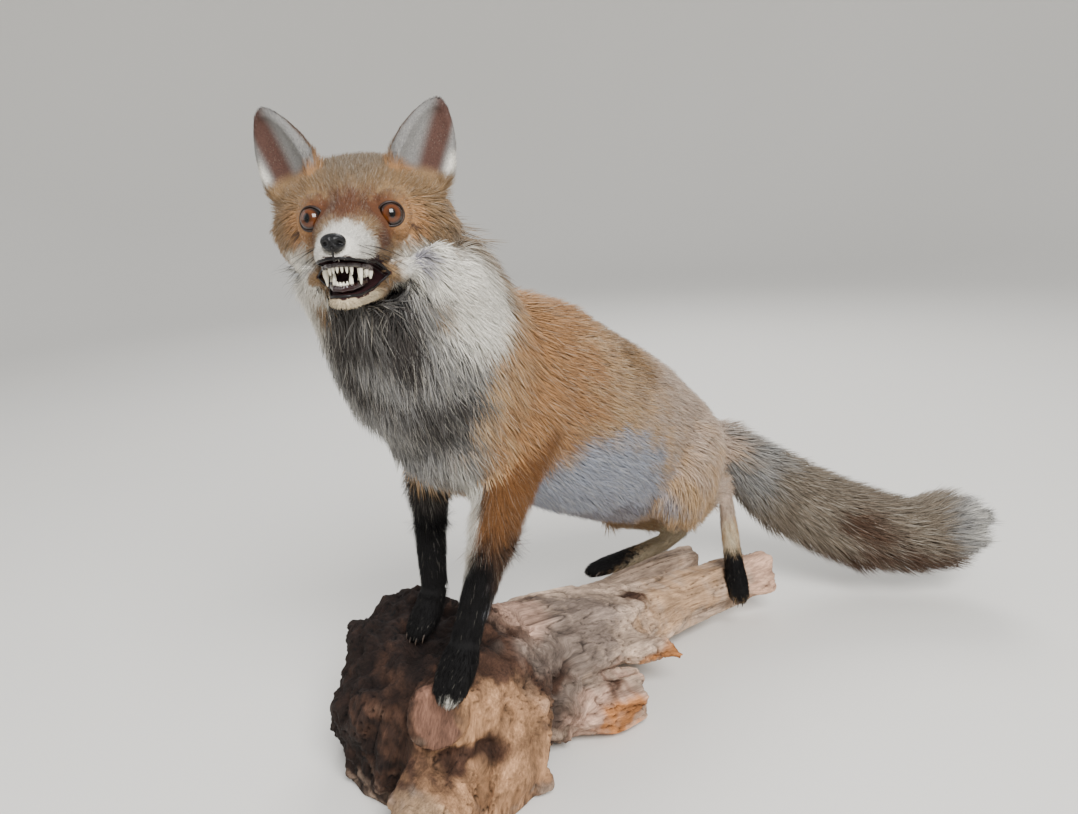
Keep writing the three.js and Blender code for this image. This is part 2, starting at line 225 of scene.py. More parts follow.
def mottled_group():
    """Node group: a noise that blends a dark tone into a pale one, and the noise as a height."""
    inputs = {"Dark": "Color", "Pale": "Color"}
    inputs |= dict.fromkeys(("Scale", "Detail", "Low", "High"), "Float")
    group, given, result = node_group("mottled", inputs, {"Colour": "Color", "Height": "Float"})
    grain = add(group, "TexNoise", {
        "Vector": object_place(group), "Scale": given["Scale"], "Detail": given["Detail"]})
    share = add(group, "MapRange", {
        "Value": grain.outputs["Fac"], "From Min": given["Low"], "From Max": given["High"]})
    # the numbered sockets of Mix are its factor and its two colours
    blend = add(group, "Mix", {
        0: share.outputs["Result"], 6: given["Dark"], 7: given["Pale"]}, data_type="RGBA")
    group.links.new(blend.outputs[2], result["Colour"])
    group.links.new(grain.outputs["Fac"], result["Height"])
    return group


MOTTLED = mottled_group()
FOLD_HEIGHT = 0.0005            # height of the folds of lids and lips, in metres


def mottled_material(name, dark, low, pale, high, scale, detail, bump=0, **constants):
    """A material that runs from dark at a noise of `low` to pale at `high`."""
    made, tree, shader = material(name, **constants)
    grain = add(tree, "Group", node_tree=MOTTLED)
    values = {"Dark": (*linear(dark), 1), "Pale": (*linear(pale), 1), "Scale": scale, "Detail": detail,
              "Low": low, "High": high}
    for socket, value in values.items():
        grain.inputs[socket].default_value = value
    tree.links.new(grain.outputs["Colour"], shader.inputs["Base Color"])
    if bump:
        raised = add(tree, "Bump", {
            "Height": grain.outputs["Height"], "Strength": bump, "Distance": FOLD_HEIGHT})
        tree.links.new(raised.outputs["Normal"], shader.inputs["Normal"])
    return made


# %% [markdown]
# ## Floor and lights
# A studio hangs a sweep of paper, which runs from the floor up behind the thing without an edge. A
# plane would show a horizon, so a profile with a quarter circle is spun round the middle. One soft key
# light, a weak fill and a light from behind model the fur; the world lifts the shadows.

# %% Floor and lights
FLOOR_RADIUS = 3.2
FLOOR_CURVE = 1.6
FLOOR_STEPS = 12                # steps of the curve

bm = bmesh.new()
profile = [bm.verts.new((0, 0, 0)), bm.verts.new((FLOOR_RADIUS, 0, 0))]
for step in range(1, FLOOR_STEPS + 1):
    angle = math.pi / 2 * step / FLOOR_STEPS
    x = FLOOR_RADIUS + FLOOR_CURVE * math.sin(angle)
    profile.append(bm.verts.new((x, 0, FLOOR_CURVE * (1 - math.cos(angle)))))
edges = [bm.edges.new(pair) for pair in zip(profile, profile[1:])]
bmesh.ops.spin(bm, geom=profile + edges, axis=(0, 0, 1), angle=2 * math.pi, steps=96, use_merge=True)
bmesh.ops.remove_doubles(bm, verts=bm.verts, dist=1e-5)
bmesh.ops.recalc_face_normals(bm, faces=bm.faces)
floor_mesh = mesh_of(bm, "floor")
floor = new_object("floor", floor_mesh)
floor_mesh.materials.append(mottled_material(
    "floor_paper", "DAD7D0", 0.3, "E2DFD9", 0.7, scale=0.3, detail=3, Roughness=0.85))

TARGET = Vector((0, 0, 0.3))
for name, place, size, power in (
    ("key", (1.5, -1.1, 1.9), 1.1, 105),
    ("fill", (-1.5, -1.6, 1.3), 1.6, 10),
    ("rim", (-0.9, 1.7, 1.9), 1.2, 34),
):
    light = bpy.data.lights.new(name, "AREA")
    light.size = size
    light.energy = power
    lamp = bpy.data.objects.new(name, light)
    bpy.context.scene.collection.objects.link(lamp)
    lamp.location = place
    lamp.rotation_euler = (TARGET - Vector(place)).to_track_quat("-Z", "Y").to_euler()

sky = bpy.data.worlds.new("studio")
sky.use_nodes = True
sky.node_tree.nodes["Background"].inputs["Color"].default_value = (0.95, 0.97, 1.0, 1)
sky.node_tree.nodes["Background"].inputs["Strength"].default_value = 0.68
bpy.context.scene.world = sky
print("floor:", len(floor_mesh.polygons), "faces")

# %% [markdown]
# ## How the coat lies
# Hair grows from the nose back, down the throat, back along the flanks, down the legs and out to the
# tip of the tail. Each stretch of the body is a bone here: a line with a reach, the way its hair
# lies, the hair's length and how far it lifts the outline off the skin. A point blends the bones near
# it, so length and direction change smoothly from one to the next.

# %% Bones of the coat
Bone = namedtuple("Bone", "piece start end reach lie length depth")
BONES = []


def bone(piece, matrix, start, end, reach, length, depth, lie=None):
    """A stretch of coat; the hair follows the bone unless `lie` gives another way."""
    ends = world([start, end], matrix)
    way = ends[1] - ends[0] if lie is None else world(lie, matrix) - world((0, 0, 0), matrix)
    BONES.append(Bone(piece, ends[0], ends[1], reach * MM, way / np.linalg.norm(way), length, depth))


bone("face", HEAD, (0, -78, -24), (0, -42, -20), 15, 4.5, 1.0)
bone("face", HEAD, (0, -42, -6), (0, -10, 4), 24, 6, 1.2)
bone("face", HEAD, (0, -6, 8), (0, 40, 22), 34, 10, 2.2)
bone("head", HEAD, (0, 44, 20), (0, 84, 0), 38, 24, 5, lie=(0, 0.8, -0.5))
bone("face", HEAD, (0, -66, -56), (0, -4, -52), 17, 7, 1.4, lie=(0, 0.9, -0.3))
for side in (1, -1):
    bone("face", HEAD, (side * 12, -72, -38), (side * 36, -8, -40), 8, 3.2, 0.7, lie=(side * 0.3, 0.9, -0.2))
    bone("face", HEAD, (side * 14, -40, -22), (side * 28, -4, -20), 17, 7, 1.6, lie=(side * 0.5, 0.8, -0.25))
    bone("head", HEAD, (side * 36, 6, -18), (side * 56, 40, -26), 26, 13, 3, lie=(side * 0.3, 0.75, -0.6))
    bone("ears", HEAD, (side * 52, 25, 46), (side * 64, 23, 84), 30, 4.5, 0.4)

bone("head", HEAD, (56, 36, -46), (82, 66, -64), 30, 26, 6, lie=(0.45, 0.7, -0.6))
bone("head", HEAD, (-54, 40, -42), (-66, 74, -62), 32, 24, 6, lie=(-0.15, 0.6, -0.8))

NECK_PATH = [(2, -288, 496), (-2, -262, 445), (0, -228, 396)]
for start, end in zip(NECK_PATH, NECK_PATH[1:]):
    bone("neck", BODY, start, end, 76, 44, 15, lie=(0, 0.25, -1))
bone("shoulder", BODY, (0, -240, 390), (0, -180, 374), 84, 40, 13, lie=(0, 0.62, -0.8))
bone("back", BODY, (0, -150, 366), (0, -60, 324), 92, 36, 12, lie=(0, 0.9, -0.5))
bone("back", BODY, (0, -60, 324), (0, 60, 268), 88, 34, 11, lie=(0, 0.85, -0.6))
bone("rump", BODY, (0, 60, 268), (0, 150, 228), 76, 30, 10, lie=(0, 0.6, -0.85))
bone("rump", BODY, (0, 160, 226), (0, 222, 204), 48, 28, 9, lie=(0, 0.7, -0.7))
bone("belly", BODY, (0, -150, 262), (0, 70, 172), 40, 40, 12, lie=(0, 0.65, -0.75))

TAIL_PATH = [(2, 196, 232), (18, 226, 214), (48, 250, 182), (86, 275, 145), (131, 302, 115),
             (176, 326, 94), (221, 350, 86), (262, 374, 92), (306, 402, 110)]
for start, end in zip(TAIL_PATH, TAIL_PATH[1:]):
    bone("tail", BODY, start, end, 46, 50, 24)

bone("legs", BODY, (46, -190, 356), (47, -240, 275), 32, 24, 6, lie=(0, 0.1, -1))
bone("legs", BODY, (47, -247, 258), (46, -285, 182), 15, 12, 1.8)
bone("feet", BODY, (46, -285, 182), (54, -324, 139), 15, 8, 1.2)
bone("legs", BODY, (-44, -190, 350), (-44, -230, 275), 32, 20, 6, lie=(0, 0.1, -1))
bone("legs", BODY, (-44, -233, 256), (-45, -234, 190), 15, 12, 1.8)
bone("feet", BODY, (-45, -234, 186), (-39, -273, 148), 14, 8, 1.2)
for x, toe_x, low in ((50, 58, 188), (-46, -52, 170)):
    bone("rump", BODY, (x * 0.8, 122, 238), (toe_x, 50, low), 48, 26, 8, lie=(0, -0.35, -0.9))
bone("legs", BODY, (60, 70, 180), (57, 162, 184), 20, 14, 3.5)
bone("legs", BODY, (-50, 66, 158), (-20, 174, 112), 19, 14, 3.5)
bone("legs", BODY, (57, 173, 181), (90, 142, 76), 12, 10, 1.5)
bone("feet", BODY, (90, 142, 76), (100, 133, 46), 13, 6, 1.1)
bone("legs", BODY, (-15, 186, 99), (-34, 100, 90), 12, 10, 1.5)
bone("feet", BODY, (-34, 100, 90), (-50, 26, 90), 13, 7, 1.1)

FALLOFF = 6                     # how sharply a nearer bone outweighs a farther one
NEAREST = 0.05                  # keeps the weight finite on the bone itself
EYE_SEAT = np.array((27.5, -EYE_FORWARD, 0))
EYE_LOOK = np.array((0.30, -0.95, 0.10))
EYE_LOOK /= np.linalg.norm(EYE_LOOK)


def fade(value, low, high):
    """0 below low, 1 above high, smooth between."""
    t = np.clip((value - low) / (high - low), 0, 1)
    return t * t * (3 - 2 * t)


def eye_gap(head_points):
    """Distance in millimetres to the nearer eye's centre, for points of the head frame."""
    folded = np.abs(head_points) * (1, 0, 0) + head_points * (0, 1, 1)
    return np.linalg.norm(folded - EYE_SEAT, axis=1)


def from_eye(head_points):
    """World direction away from the nearer eye's line of sight."""
    side = np.where(head_points[:, :1] > 0, 1, -1) * (1, 0, 0) + (0, 1, 1)
    offset = head_points - EYE_SEAT * side
    look = EYE_LOOK * side
    offset -= np.sum(offset * look, axis=1)[:, None] * look
    offset /= np.maximum(np.linalg.norm(offset, axis=1), 1e-6)[:, None]
    return offset @ np.array(head_turn.to_3x3()).T


def coat_field(points):
    """At each point: index of the nearest bone, the lie of the hair, its length and its depth."""
    weights = np.empty((len(BONES), len(points)))
    for row, stretch in enumerate(BONES):
        along = stretch.end - stretch.start
        place = np.clip((points - stretch.start) @ along / (along @ along), 0, 1)
        gap = np.linalg.norm(points - stretch.start - place[:, None] * along, axis=1)
        weights[row] = (gap / stretch.reach + NEAREST) ** -FALLOFF
    nearest = weights.argmax(0)
    weights /= weights.sum(0)
    lie = weights.T @ np.array([b.lie for b in BONES])
    length = weights.T @ np.array([b.length for b in BONES])
    depth = weights.T @ np.array([b.depth for b in BONES])
    head_points = local(points, HEAD)
    near_eye = 1 - fade(eye_gap(head_points), 12, 26)
    lie += from_eye(head_points) * (0.9 * near_eye)[:, None]
    length *= 1 - 0.62 * near_eye
    depth *= 1 - 0.75 * near_eye
    return nearest, lie, length, depth


print("bones:", len(BONES))

# %% [markdown]
# ## The skin
# The flesh solids are separate, with hair-thin gaps. Fattening each one a little and remeshing them
# together gives one closed surface. The head is remeshed finer than the body, each is moved inwards
# by the depth of its coat, and a boolean joins the two into one skin.

# %% Fusing the flesh
HEAD_NODES = ["head", "jaw", "ear_left", "ear_right"]
FLESH_NODES = ["neck", "trunk", "tail"]
FOOT_NODES = []
for side in ("left", "right"):
    FLESH_NODES += [f"{part}_{side}" for part in ("thigh", "shank", "foreleg")]
    FOOT_NODES += [f"{part}_{side}" for part in ("shank", "foot", "foreleg", "forepaw")]
LID_BALL = 13.2                 # radius of the ball of flesh behind each eye
LID_BACK = 4                    # how far its centre lies behind the eye's

# %% Toes
# middle of the toe line, the way the toes point, the top of the foot, half width of the toe line
PAWS = [
    ((53, -317, 148), (0.12, -0.62, -0.77), (0.1, -0.75, 0.65), 12.5),
    ((-40, -265, 154), (0.12, -0.82, -0.55), (0, -0.5, 0.85), 11.5),
    ((98, 134, 56), (0.30, -0.26, -0.92), (0.75, -0.55, 0.35), 9.5),
    ((-48, 38, 92), (-0.14, -0.98, -0.06), (0, -0.05, 1), 11),
]
TOES = []
for place, ahead, top, half in PAWS:
    ahead = Vector(ahead).normalized()
    across = ahead.cross(Vector(top)).normalized()
    top = across.cross(ahead)
    for share in (-0.9, -0.32, 0.32, 0.9):
        reach = 3.5 - 5.5 * share ** 2
        knuckle = Vector(place) + across * half * share + ahead * (reach - 8) + top * 1.5
        tip = knuckle + ahead * 10 - top * 1.5
        TOES.append((knuckle, tip, ahead, top, half * 0.42))
print("toes:", len(TOES))


# %% Reading and smoothing meshes
def vectors_of(items, key):
    flat = np.empty(len(items) * 3, np.float32)
    items.foreach_get(key, flat)
    return flat.reshape(-1, 3).astype(float)


def points_of(mesh):
    return vectors_of(mesh.vertices, "co")


def normals_of(mesh):
    return vectors_of(mesh.vertex_normals, "vector")


def set_points(mesh, points):
    mesh.vertices.foreach_set("co", points.astype(np.float32).ravel())
    mesh.update()


def relax(shape, verts, rounds):
    for _ in range(rounds):
        bmesh.ops.smooth_vert(
            shape, verts=verts, factor=0.5, use_axis_x=True, use_axis_y=True, use_axis_z=True)


def smooth(mesh, rounds):
    shape = bmesh.new()
    shape.from_mesh(mesh)
    relax(shape, shape.verts, rounds)
    shape.to_mesh(mesh)
    shape.free()


def modified(obj):
    """The object's mesh with its modifiers applied; the object is used up."""
    graph = bpy.context.evaluated_depsgraph_get()
    mesh = bpy.data.meshes.new_from_object(obj.evaluated_get(graph))
    bpy.data.objects.remove(obj)
    return mesh


# %% Fusing solids
def fused(names, voxel, rounds, swell=0.3, balls=(), cuts=None):
    """One closed, smoothed surface round several solids; sizes in millimetres."""
    cuts = cuts or {}
    whole = bmesh.new()
    for place, radius in balls:
        bmesh.ops.create_icosphere(
            whole, subdivisions=3, radius=radius * MM, matrix=Matrix.Translation(place))
    for name in names:
        part = bmesh.new()
        part.from_mesh(nodes[name].data)
        bmesh.ops.remove_doubles(part, verts=part.verts, dist=0.01 * MM)
        part.normal_update()
        for vert in part.verts:
            vert.co += vert.normal * swell * MM
        if name in cuts:
            place, away = cuts[name]
            bmesh.ops.bisect_plane(
                part, geom=part.verts[:] + part.edges[:] + part.faces[:], plane_co=place, plane_no=away,
                clear_outer=True)
            bmesh.ops.holes_fill(part, edges=[edge for edge in part.edges if edge.is_boundary])
        piece = bpy.data.meshes.new("piece")
        part.to_mesh(piece)
        part.free()
        whole.from_mesh(piece)
        bpy.data.meshes.remove(piece)
    mesh = bpy.data.meshes.new("fused")
    whole.to_mesh(mesh)
    whole.free()
    obj = new_object("fused", mesh)
    remesh = obj.modifiers.new("Remesh", "REMESH")
    remesh.mode = "VOXEL"
    remesh.voxel_size = voxel * MM
    result = modified(obj)
    smooth(result, rounds)
    return result


# %% Head, body and feet
MOUTH_CORNERS = ((25, -15, -41, 7), (29, -7, -42, 9), (33, 4, -42, 11))
head_flesh = [((side * x, y, z), radius) for side in (1, -1) for x, y, z, radius in MOUTH_CORNERS]
# the turned head bunches the skin of the neck on its left
head_flesh += [((44, 26, -44), 26), ((58, 46, -52), 28)]
# flesh that fills the fold between the back of the head and the neck
head_flesh += [((0, 44, -26), 50), ((0, 64, -42), 58), ((0, 84, -64), 62)]
head_balls = [(HEAD @ Vector((EYE_SEAT - EYE_LOOK * LID_BACK) * (side, 1, 1)), LID_BALL) for side in (1, -1)]
head_balls += [(HEAD @ Vector(place), radius) for place, radius in head_flesh]
toe_balls = [(BODY @ knuckle.lerp(tip, t), r) for knuckle, tip, _, _, r in TOES for t in (0, 0.35, 0.7, 1)]
head_mesh = fused(HEAD_NODES, voxel=1.7, rounds=4, balls=head_balls)
flesh_mesh = fused(FLESH_NODES, voxel=4.5, rounds=6)
leg_cuts = {}                   # the fine feet take over from the body's mesh at these planes
for side in ("left", "right"):
    leg_cuts["foreleg_" + side] = (BODY @ Vector((0, -240, 262)), (0, 0, 1))
    leg_cuts["shank_" + side] = (BODY @ Vector((0, 128, 180)), (0, -1, 0))
foot_mesh = fused(FOOT_NODES, voxel=2.1, rounds=2, balls=toe_balls, cuts=leg_cuts)
print("head", len(head_mesh.vertices), "body", len(flesh_mesh.vertices), "feet", len(foot_mesh.vertices))

# %% [markdown]
# ## Room for the coat
# The solids reach out to the tips of the hair, but the hide lies under it, deeper where the hair is
# long. Scaling the body down would thin the legs as well, so each point moves inwards along its own
# normal by most of the coat's depth there.

# %% Moving the skin in by the depth of the coat
INSET = 0.85                    # share of the coat's depth that the skin moves in
for mesh in (head_mesh, flesh_mesh, foot_mesh):
    points = points_of(mesh)
    depth = coat_field(points)[3]
    set_points(mesh, points - normals_of(mesh) * (depth * INSET * MM)[:, None])
smooth(flesh_mesh, 4)
print("deepest:", max(stretch.depth for stretch in BONES) * INSET, "mm under the solids' outline")

# %% [markdown]
# ## Eye openings
# The lids of a mounted fox are modelled tightly round the glass. A boolean would leave a sharp hole,
# so the skin near each eye is refined and moved instead: under the glass inside the opening, onto the
# glass at its rim, and back to the face farther out.

# %% Opening the lids
LID_WIDE = 72                   # half opening towards the corners, in degrees from the line of sight
LID_HIGH = 57
UNDER_GLASS = 8.3               # skin inside the opening lies this far from the eye's centre
ROUND_GLASS = 9.7               # skin just outside the rim lies at least this far from it
SOCKET = 30                     # reach of the shaping round an eye


def opening(angle):
    """Half opening of the lids at an angle round the line of sight."""
    return LID_HIGH + (LID_WIDE - LID_HIGH) * np.abs(np.cos(angle)) ** 2.2


def past_lid(head_points, side):
    """Offset from an eye's centre, its length, and degrees outside the lids' rim (negative inside)."""
    look = EYE_LOOK * (side, 1, 1)
    right = np.cross((0, 0, 1), look)
    right /= np.linalg.norm(right)
    up = np.cross(look, right)
    offset = head_points - EYE_SEAT * (side, 1, 1)
    gap = np.linalg.norm(offset, axis=1)
    polar = np.degrees(np.arccos(np.clip(offset @ look / gap, -1, 1)))
    return offset, gap, polar - opening(np.arctan2(offset @ up, offset @ right))


shape = bmesh.new()
shape.from_mesh(head_mesh)
near_eye = eye_gap(local(points_of(head_mesh), HEAD)) < SOCKET
fine = [edge for edge in shape.edges if all(near_eye[vert.index] for vert in edge.verts)]
bmesh.ops.subdivide_edges(shape, edges=fine, cuts=1, use_grid_fill=True)
shape.to_mesh(head_mesh)
shape.free()
head_points = local(points_of(head_mesh), HEAD)
for side in (1, -1):
    offset, gap, past = past_lid(head_points, side)
    low = UNDER_GLASS + (ROUND_GLASS - UNDER_GLASS) * fade(past, -2, 4)
    high = low + 0.2 + 0.22 * np.maximum(past - 7, 0)
    moved = np.clip(gap, low, high) - gap
    moved *= (1 - fade(gap, SOCKET - 8, SOCKET)) * (1 - fade(past, 45, 65))
    head_points += offset * (moved / gap)[:, None]
set_points(head_mesh, world(head_points, HEAD))
print("head:", len(head_points), "points with finer eye sockets")

# %% [markdown]
# ## One hide
# The hide is a single piece on the real mount, sewn where nobody sees it. Joining the meshes would
# leave walls inside, so a boolean makes one closed surface, and the fold where the turned head meets
# the neck is then relaxed until it runs over softly.

# %% One skin from head and body
SEAM_CENTRE = np.array((0, 76, -36))       # where the head sits on the neck, in the head's frame
SEAM_HALF = np.array((130, 60, 78))
SEAM_ROUNDS = 110

skin = new_object("skin", flesh_mesh)
tools = [new_object("tool", mesh) for mesh in (head_mesh, foot_mesh)]
for tool in tools:
    union = skin.modifiers.new("Union", "BOOLEAN")
    union.operation = "UNION"
    union.solver = "MANIFOLD"
    union.object = tool
skin_mesh = modified(skin)
for tool in tools:
    bpy.data.objects.remove(tool)
skin_mesh.name = "skin"
shape = bmesh.new()
shape.from_mesh(skin_mesh)
head_points = local(points_of(skin_mesh), HEAD)
off_seam = np.linalg.norm((head_points - SEAM_CENTRE) / SEAM_HALF, axis=1)
seam = [vert for vert, gap in zip(shape.verts, off_seam) if gap < 1]
relax(shape, seam, SEAM_ROUNDS)
shape.to_mesh(skin_mesh)
shape.free()
skin_mesh.materials.clear()
skin_mesh.polygons.foreach_set("material_index", np.zeros(len(skin_mesh.polygons), np.int32))
skin = new_object("skin", skin_mesh)
skin_mesh.shade_smooth()
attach(skin, "root")
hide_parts(*HEAD_NODES, *FLESH_NODES, *FOOT_NODES)
print("skin:", len(skin_mesh.vertices), "points")

# %% [markdown]
# ## Markings
# The colours of the hide are painted as soft patches, one over the other: tawny flanks, grey-white
# throat, white muzzle and cheeks, black stockings. Each tone also says how many hairs have dark or
# pale tips, which is what makes a fox look grizzled. Skin and coat both read the same patches.

# %% Tones of the hide
# name: colour, share of dark-tipped hairs, share of pale-tipped hairs
TONES = {
    "tan": ("AB8C68", 0.10, 0.18),
    "face": ("84694A", 0.12, 0.14),
    "leg": ("7A5230", 0.16, 0.06),
    "orange": ("98704A", 0.10, 0.10),
    "rust": ("5C3924", 0.16, 0.06),
    "rump": ("B09A88", 0.20, 0.26),
    "ridge": ("836543", 0.28, 0.14),
    "grey": ("807E7B", 0.24, 0.28),
    "fleck": ("3A3532", 0.45, 0.14),
    "white": ("DDD8CC", 0.02, 0.20),
    "cream": ("C2B193", 0.04, 0.16),
    "belly": ("9195A0", 0.10, 0.24),
    "ash": ("75727A", 0.20, 0.30),
    "crown": ("6C5A45", 0.22, 0.16),
    "brown": ("4F3A2C", 0.35, 0.05),
    "olive": ("75695A", 0.30, 0.18),
    "black": ("0B0909", 0.10, 0.01),
    "ear_hollow": ("533A32", 0.10, 0.06),
    "mouth": ("2A1214", 0.0, 0.0),
}
TONE_VALUES = {name: np.array([*linear(code), dark, pale]) for name, (code, dark, pale) in TONES.items()}


# %% Patches of the hide
# tone, centre, half sizes, softness of the edge
BODY_PATCHES = [
    ("ridge", (0, -40, 420), (36, 150, 60), 0.5),
    ("orange", (0, -170, 400), (120, 80, 110), 0.5),
    ("rump", (0, 90, 320), (110, 120, 110), 0.5),
    ("rump", (0, 190, 250), (90, 80, 90), 0.4),
    ("ridge", (40, -10, 380), (40, 40, 26), 0.7),
    ("belly", (0, -128, 236), (400, 150, 92), 0.14),
    ("ash", (0, -90, 196), (90, 130, 40), 0.5),
    ("grey", (0, -330, 430), (140, 74, 120), 0.2),
    ("grey", (0, -310, 350), (100, 56, 60), 0.25),
    ("grey", (10, -300, 500), (120, 60, 60), 0.3),
    ("crown", (10, -250, 520), (70, 60, 60), 0.4),
    ("fleck", (52, -342, 462), (16, 24, 44), 0.5),
    ("fleck", (50, -310, 400), (40, 30, 40), 0.9),
    ("fleck", (-8, -350, 450), (14, 30, 60), 0.7),
    ("fleck", (20, -372, 486), (46, 34, 26), 0.6),
    ("orange", (70, -205, 350), (26, 44, 60), 0.35),
    ("grey", (26, -262, 320), (18, 26, 60), 0.4),
    ("white", (30, -264, 300), (12, 20, 50), 0.4),
]
HEAD_PATCHES = []
# the last number is 2 for a patch on both sides of the face
for tone, (x, y, z), half, edge, sides in (
    ("crown", (0, 30, 42), (44, 50, 34), 0.4, 1),
    ("face", (46, 0, 12), (30, 34, 30), 0.4, 2),
    ("rust", (0, -28, 6), (13, 18, 14), 0.5, 1),
    ("rust", (24, -16, 0), (20, 15, 18), 0.4, 2),
    ("orange", (42, -4, -4), (16, 14, 16), 0.5, 2),
    ("white", (52, 12, -36), (34, 30, 19), 0.25, 2),
    ("white", (84, 52, -62), (44, 44, 36), 0.3, 2),
    ("white", (0, -66, -22), (30, 30, 24), 0.2, 1),
    ("white", (0, -55, -11), (12, 13, 9), 0.3, 1),
    ("rust", (25, -28, -16), (9, 12, 7), 0.4, 2),
    # painted shade: the small ash spot behind each mouth corner darkens the fold there
    ("ash", (46, 3, -32), (8, 10, 8), 0.6, 2),
    ("cream", (0, -40, -62), (30, 44, 14), 0.3, 1),
    ("grey", (42, 4, -62), (16, 20, 14), 0.5, 1),
    ("orange", (36, 12, 40), (12, 12, 12), 0.4, 2),
    ("brown", (44, 2, -8), (9, 3, 2), 0.4, 2),
):
    HEAD_PATCHES += [(tone, (side * x, y, z), half, edge) for side in (1, -1)[:sides]]
LEG_PATCHES = [
    ("leg", (66, -215, 325), (40, 50, 60), 0.35),
    ("fleck", (-44, -240, 300), (40, 50, 60), 0.35),
    ("leg", (64, -246, 282), (24, 40, 44), 0.35),
    ("brown", (62, -250, 244), (30, 40, 34), 0.5),
    ("black", (52, -286, 232), (26, 34, 58), 0.3),
    ("black", (46, -262, 312), (8, 20, 16), 0.5),
    ("black", (-46, -240, 222), (46, 60, 66), 0.15),
    ("black", (50, -300, 160), (40, 60, 60), 0.1),
    ("black", (-42, -250, 160), (40, 60, 60), 0.1),
    ("white", (32, -258, 288), (15, 22, 56), 0.25),
    ("white", (62, -330, 138), (10, 12, 10), 0.4),
    ("rump", (72, 146, 170), (30, 34, 30), 0.4),
    ("cream", (84, 140, 140), (16, 16, 34), 0.35),
    ("black", (92, 146, 76), (34, 34, 36), 0.2),
    ("cream", (-16, 160, 100), (30, 50, 22), 0.4),
    ("cream", (-20, 100, 88), (16, 60, 12), 0.4),
    ("black", (-44, 62, 100), (30, 60, 16), 0.35),
    ("black", (-50, 30, 90), (24, 30, 18), 0.35),
]
TAIL_PATCHES = [
    ("olive", (150, 310, 120), (240, 160, 140), 0.15),
    ("brown", (170, 322, 50), (150, 110, 34), 0.5),
    ("grey", (60, 226, 190), (30, 30, 40), 0.7),
    ("brown", (176, 276, 120), (30, 30, 30), 0.8),
    ("grey", (300, 376, 122), (42, 70, 70), 0.25),
    ("white", (316, 372, 128), (30, 50, 40), 0.5),
]


# %% Painting patches
def ripple(points, size, seed=0):
    """Smooth noise between -1 and 1 on millimetre points, with bumps of about `size`."""
    total = np.zeros(len(points))
    waves = np.random.default_rng(seed)
    for octave in range(3):
        for _ in range(4):
            direction = waves.normal(size=3)
            direction *= 2 * math.pi * 1.7 ** octave / (size * np.linalg.norm(direction))
            total += np.sin(points @ direction + waves.uniform(0, 6.3)) / (1.5 ** octave)
    return np.clip(total / 4, -1, 1)


def paint(values, points, patches, wobble, tones=TONE_VALUES):
    for tone, centre, half, edge in patches:
        gap = np.linalg.norm((points - centre) / half, axis=1) + wobble * edge
        mask = 1 - fade(gap, 1 - edge, 1 + edge)
        values += (tones[tone] - values) * mask[:, None]


# %% Ears
EAR_LEFT = HEAD @ (
    Matrix.Translation((44, 26, 24))
    @ Matrix.Rotation(math.radians(19), 4, "Y")
    @ Matrix.Rotation(math.radians(24), 4, "Z")
)
MIRROR = HEAD @ Matrix.Scale(-1, 4, (1, 0, 0)) @ HEAD.inverted()
EAR_RIGHT = MIRROR @ EAR_LEFT


def ear_values(values, points, normals, on_ears):
    """Ears: grey-white hair on the inner half of the hollow, brown centre, dark rim, tip and back."""
    for matrix in (EAR_LEFT, EAR_RIGHT):
        ear = local(points, matrix)
        inverse = np.array(matrix.inverted())
        facing = normals @ inverse[:3, :3].T
        facing /= np.linalg.norm(facing, axis=1)[:, None]
        on_ear = on_ears * fade(ear[:, 2], 6, 16) * (np.abs(ear[:, 0]) < 36) * (np.abs(ear[:, 1]) < 24)
        inward = np.sum(facing * (np.array((0, -16, 0)) - ear * (1, 1, 0)), axis=1) > 0
        front = inward | (facing[:, 1] < -0.25)
        hollow = on_ear * front
        back = on_ear * ~front
        tip = fade(ear[:, 2], 48, 60) * np.where(front, 0.25, 1)
        rim = fade(np.abs(facing[:, 0]), 0.72, 0.95) * fade(ear[:, 2], 20, 40)
        hair = fade(-ear[:, 0], -3, 8) + fade(ear[:, 0], 11, 18)
        for tone, mask in (
            ("brown", back * fade(ear[:, 2], 8, 30)),
            ("black", back * fade(ear[:, 2], 30, 50)),
            ("ear_hollow", hollow),
            ("grey", hollow * hair),
            ("white", hollow * fade(ear[:, 0], 14, 20) * fade(-ear[:, 2], -34, -20)),
            ("brown", on_ear * rim * 0.8),
            ("black", on_ear * tip),
        ):
            values += (TONE_VALUES[tone] - values) * mask[:, None]


# %% Markings at any point
def markings(points, normals):
    """Colour and shares of dark and pale tips at world points."""
    body_points = local(points, BODY)
    head_points = local(points, HEAD)
    values = np.tile(TONE_VALUES["tan"], (len(points), 1))
    wobble = ripple(body_points, 34, 3)
    fine = ripple(body_points, 9, 5)
    names = np.array([b.piece for b in BONES])[coat_field(points)[0]]
    paint(values, body_points, BODY_PATCHES, wobble)
    on_head = np.isin(names, ("face", "head", "ears")) * fade(-head_points[:, 1], -60, -20)
    values += (TONE_VALUES["face"] - values) * on_head[:, None]
    paint(values, head_points, HEAD_PATCHES, fine * 0.6)
    ear_values(values, points, normals, names == "ears")
    for pieces, patches, edges in ((("legs", "feet"), LEG_PATCHES, fine), (("tail",), TAIL_PATCHES, wobble)):
        painted = values.copy()
        paint(painted, body_points, patches, edges)
        values += (painted - values) * np.isin(names, pieces)[:, None]
    return values


print("patches:", len(BODY_PATCHES + HEAD_PATCHES + LEG_PATCHES + TAIL_PATCHES))

# %% [markdown]
# ## The skin's own finish
# Where hair is short or parted the skin shows through, so it carries the same colours, darker, with a
# fine nap of bumps. The inside of the mouth is dark and bare. It could be a piece of its own; picking
# its points by where they lie and face keeps the skin whole.

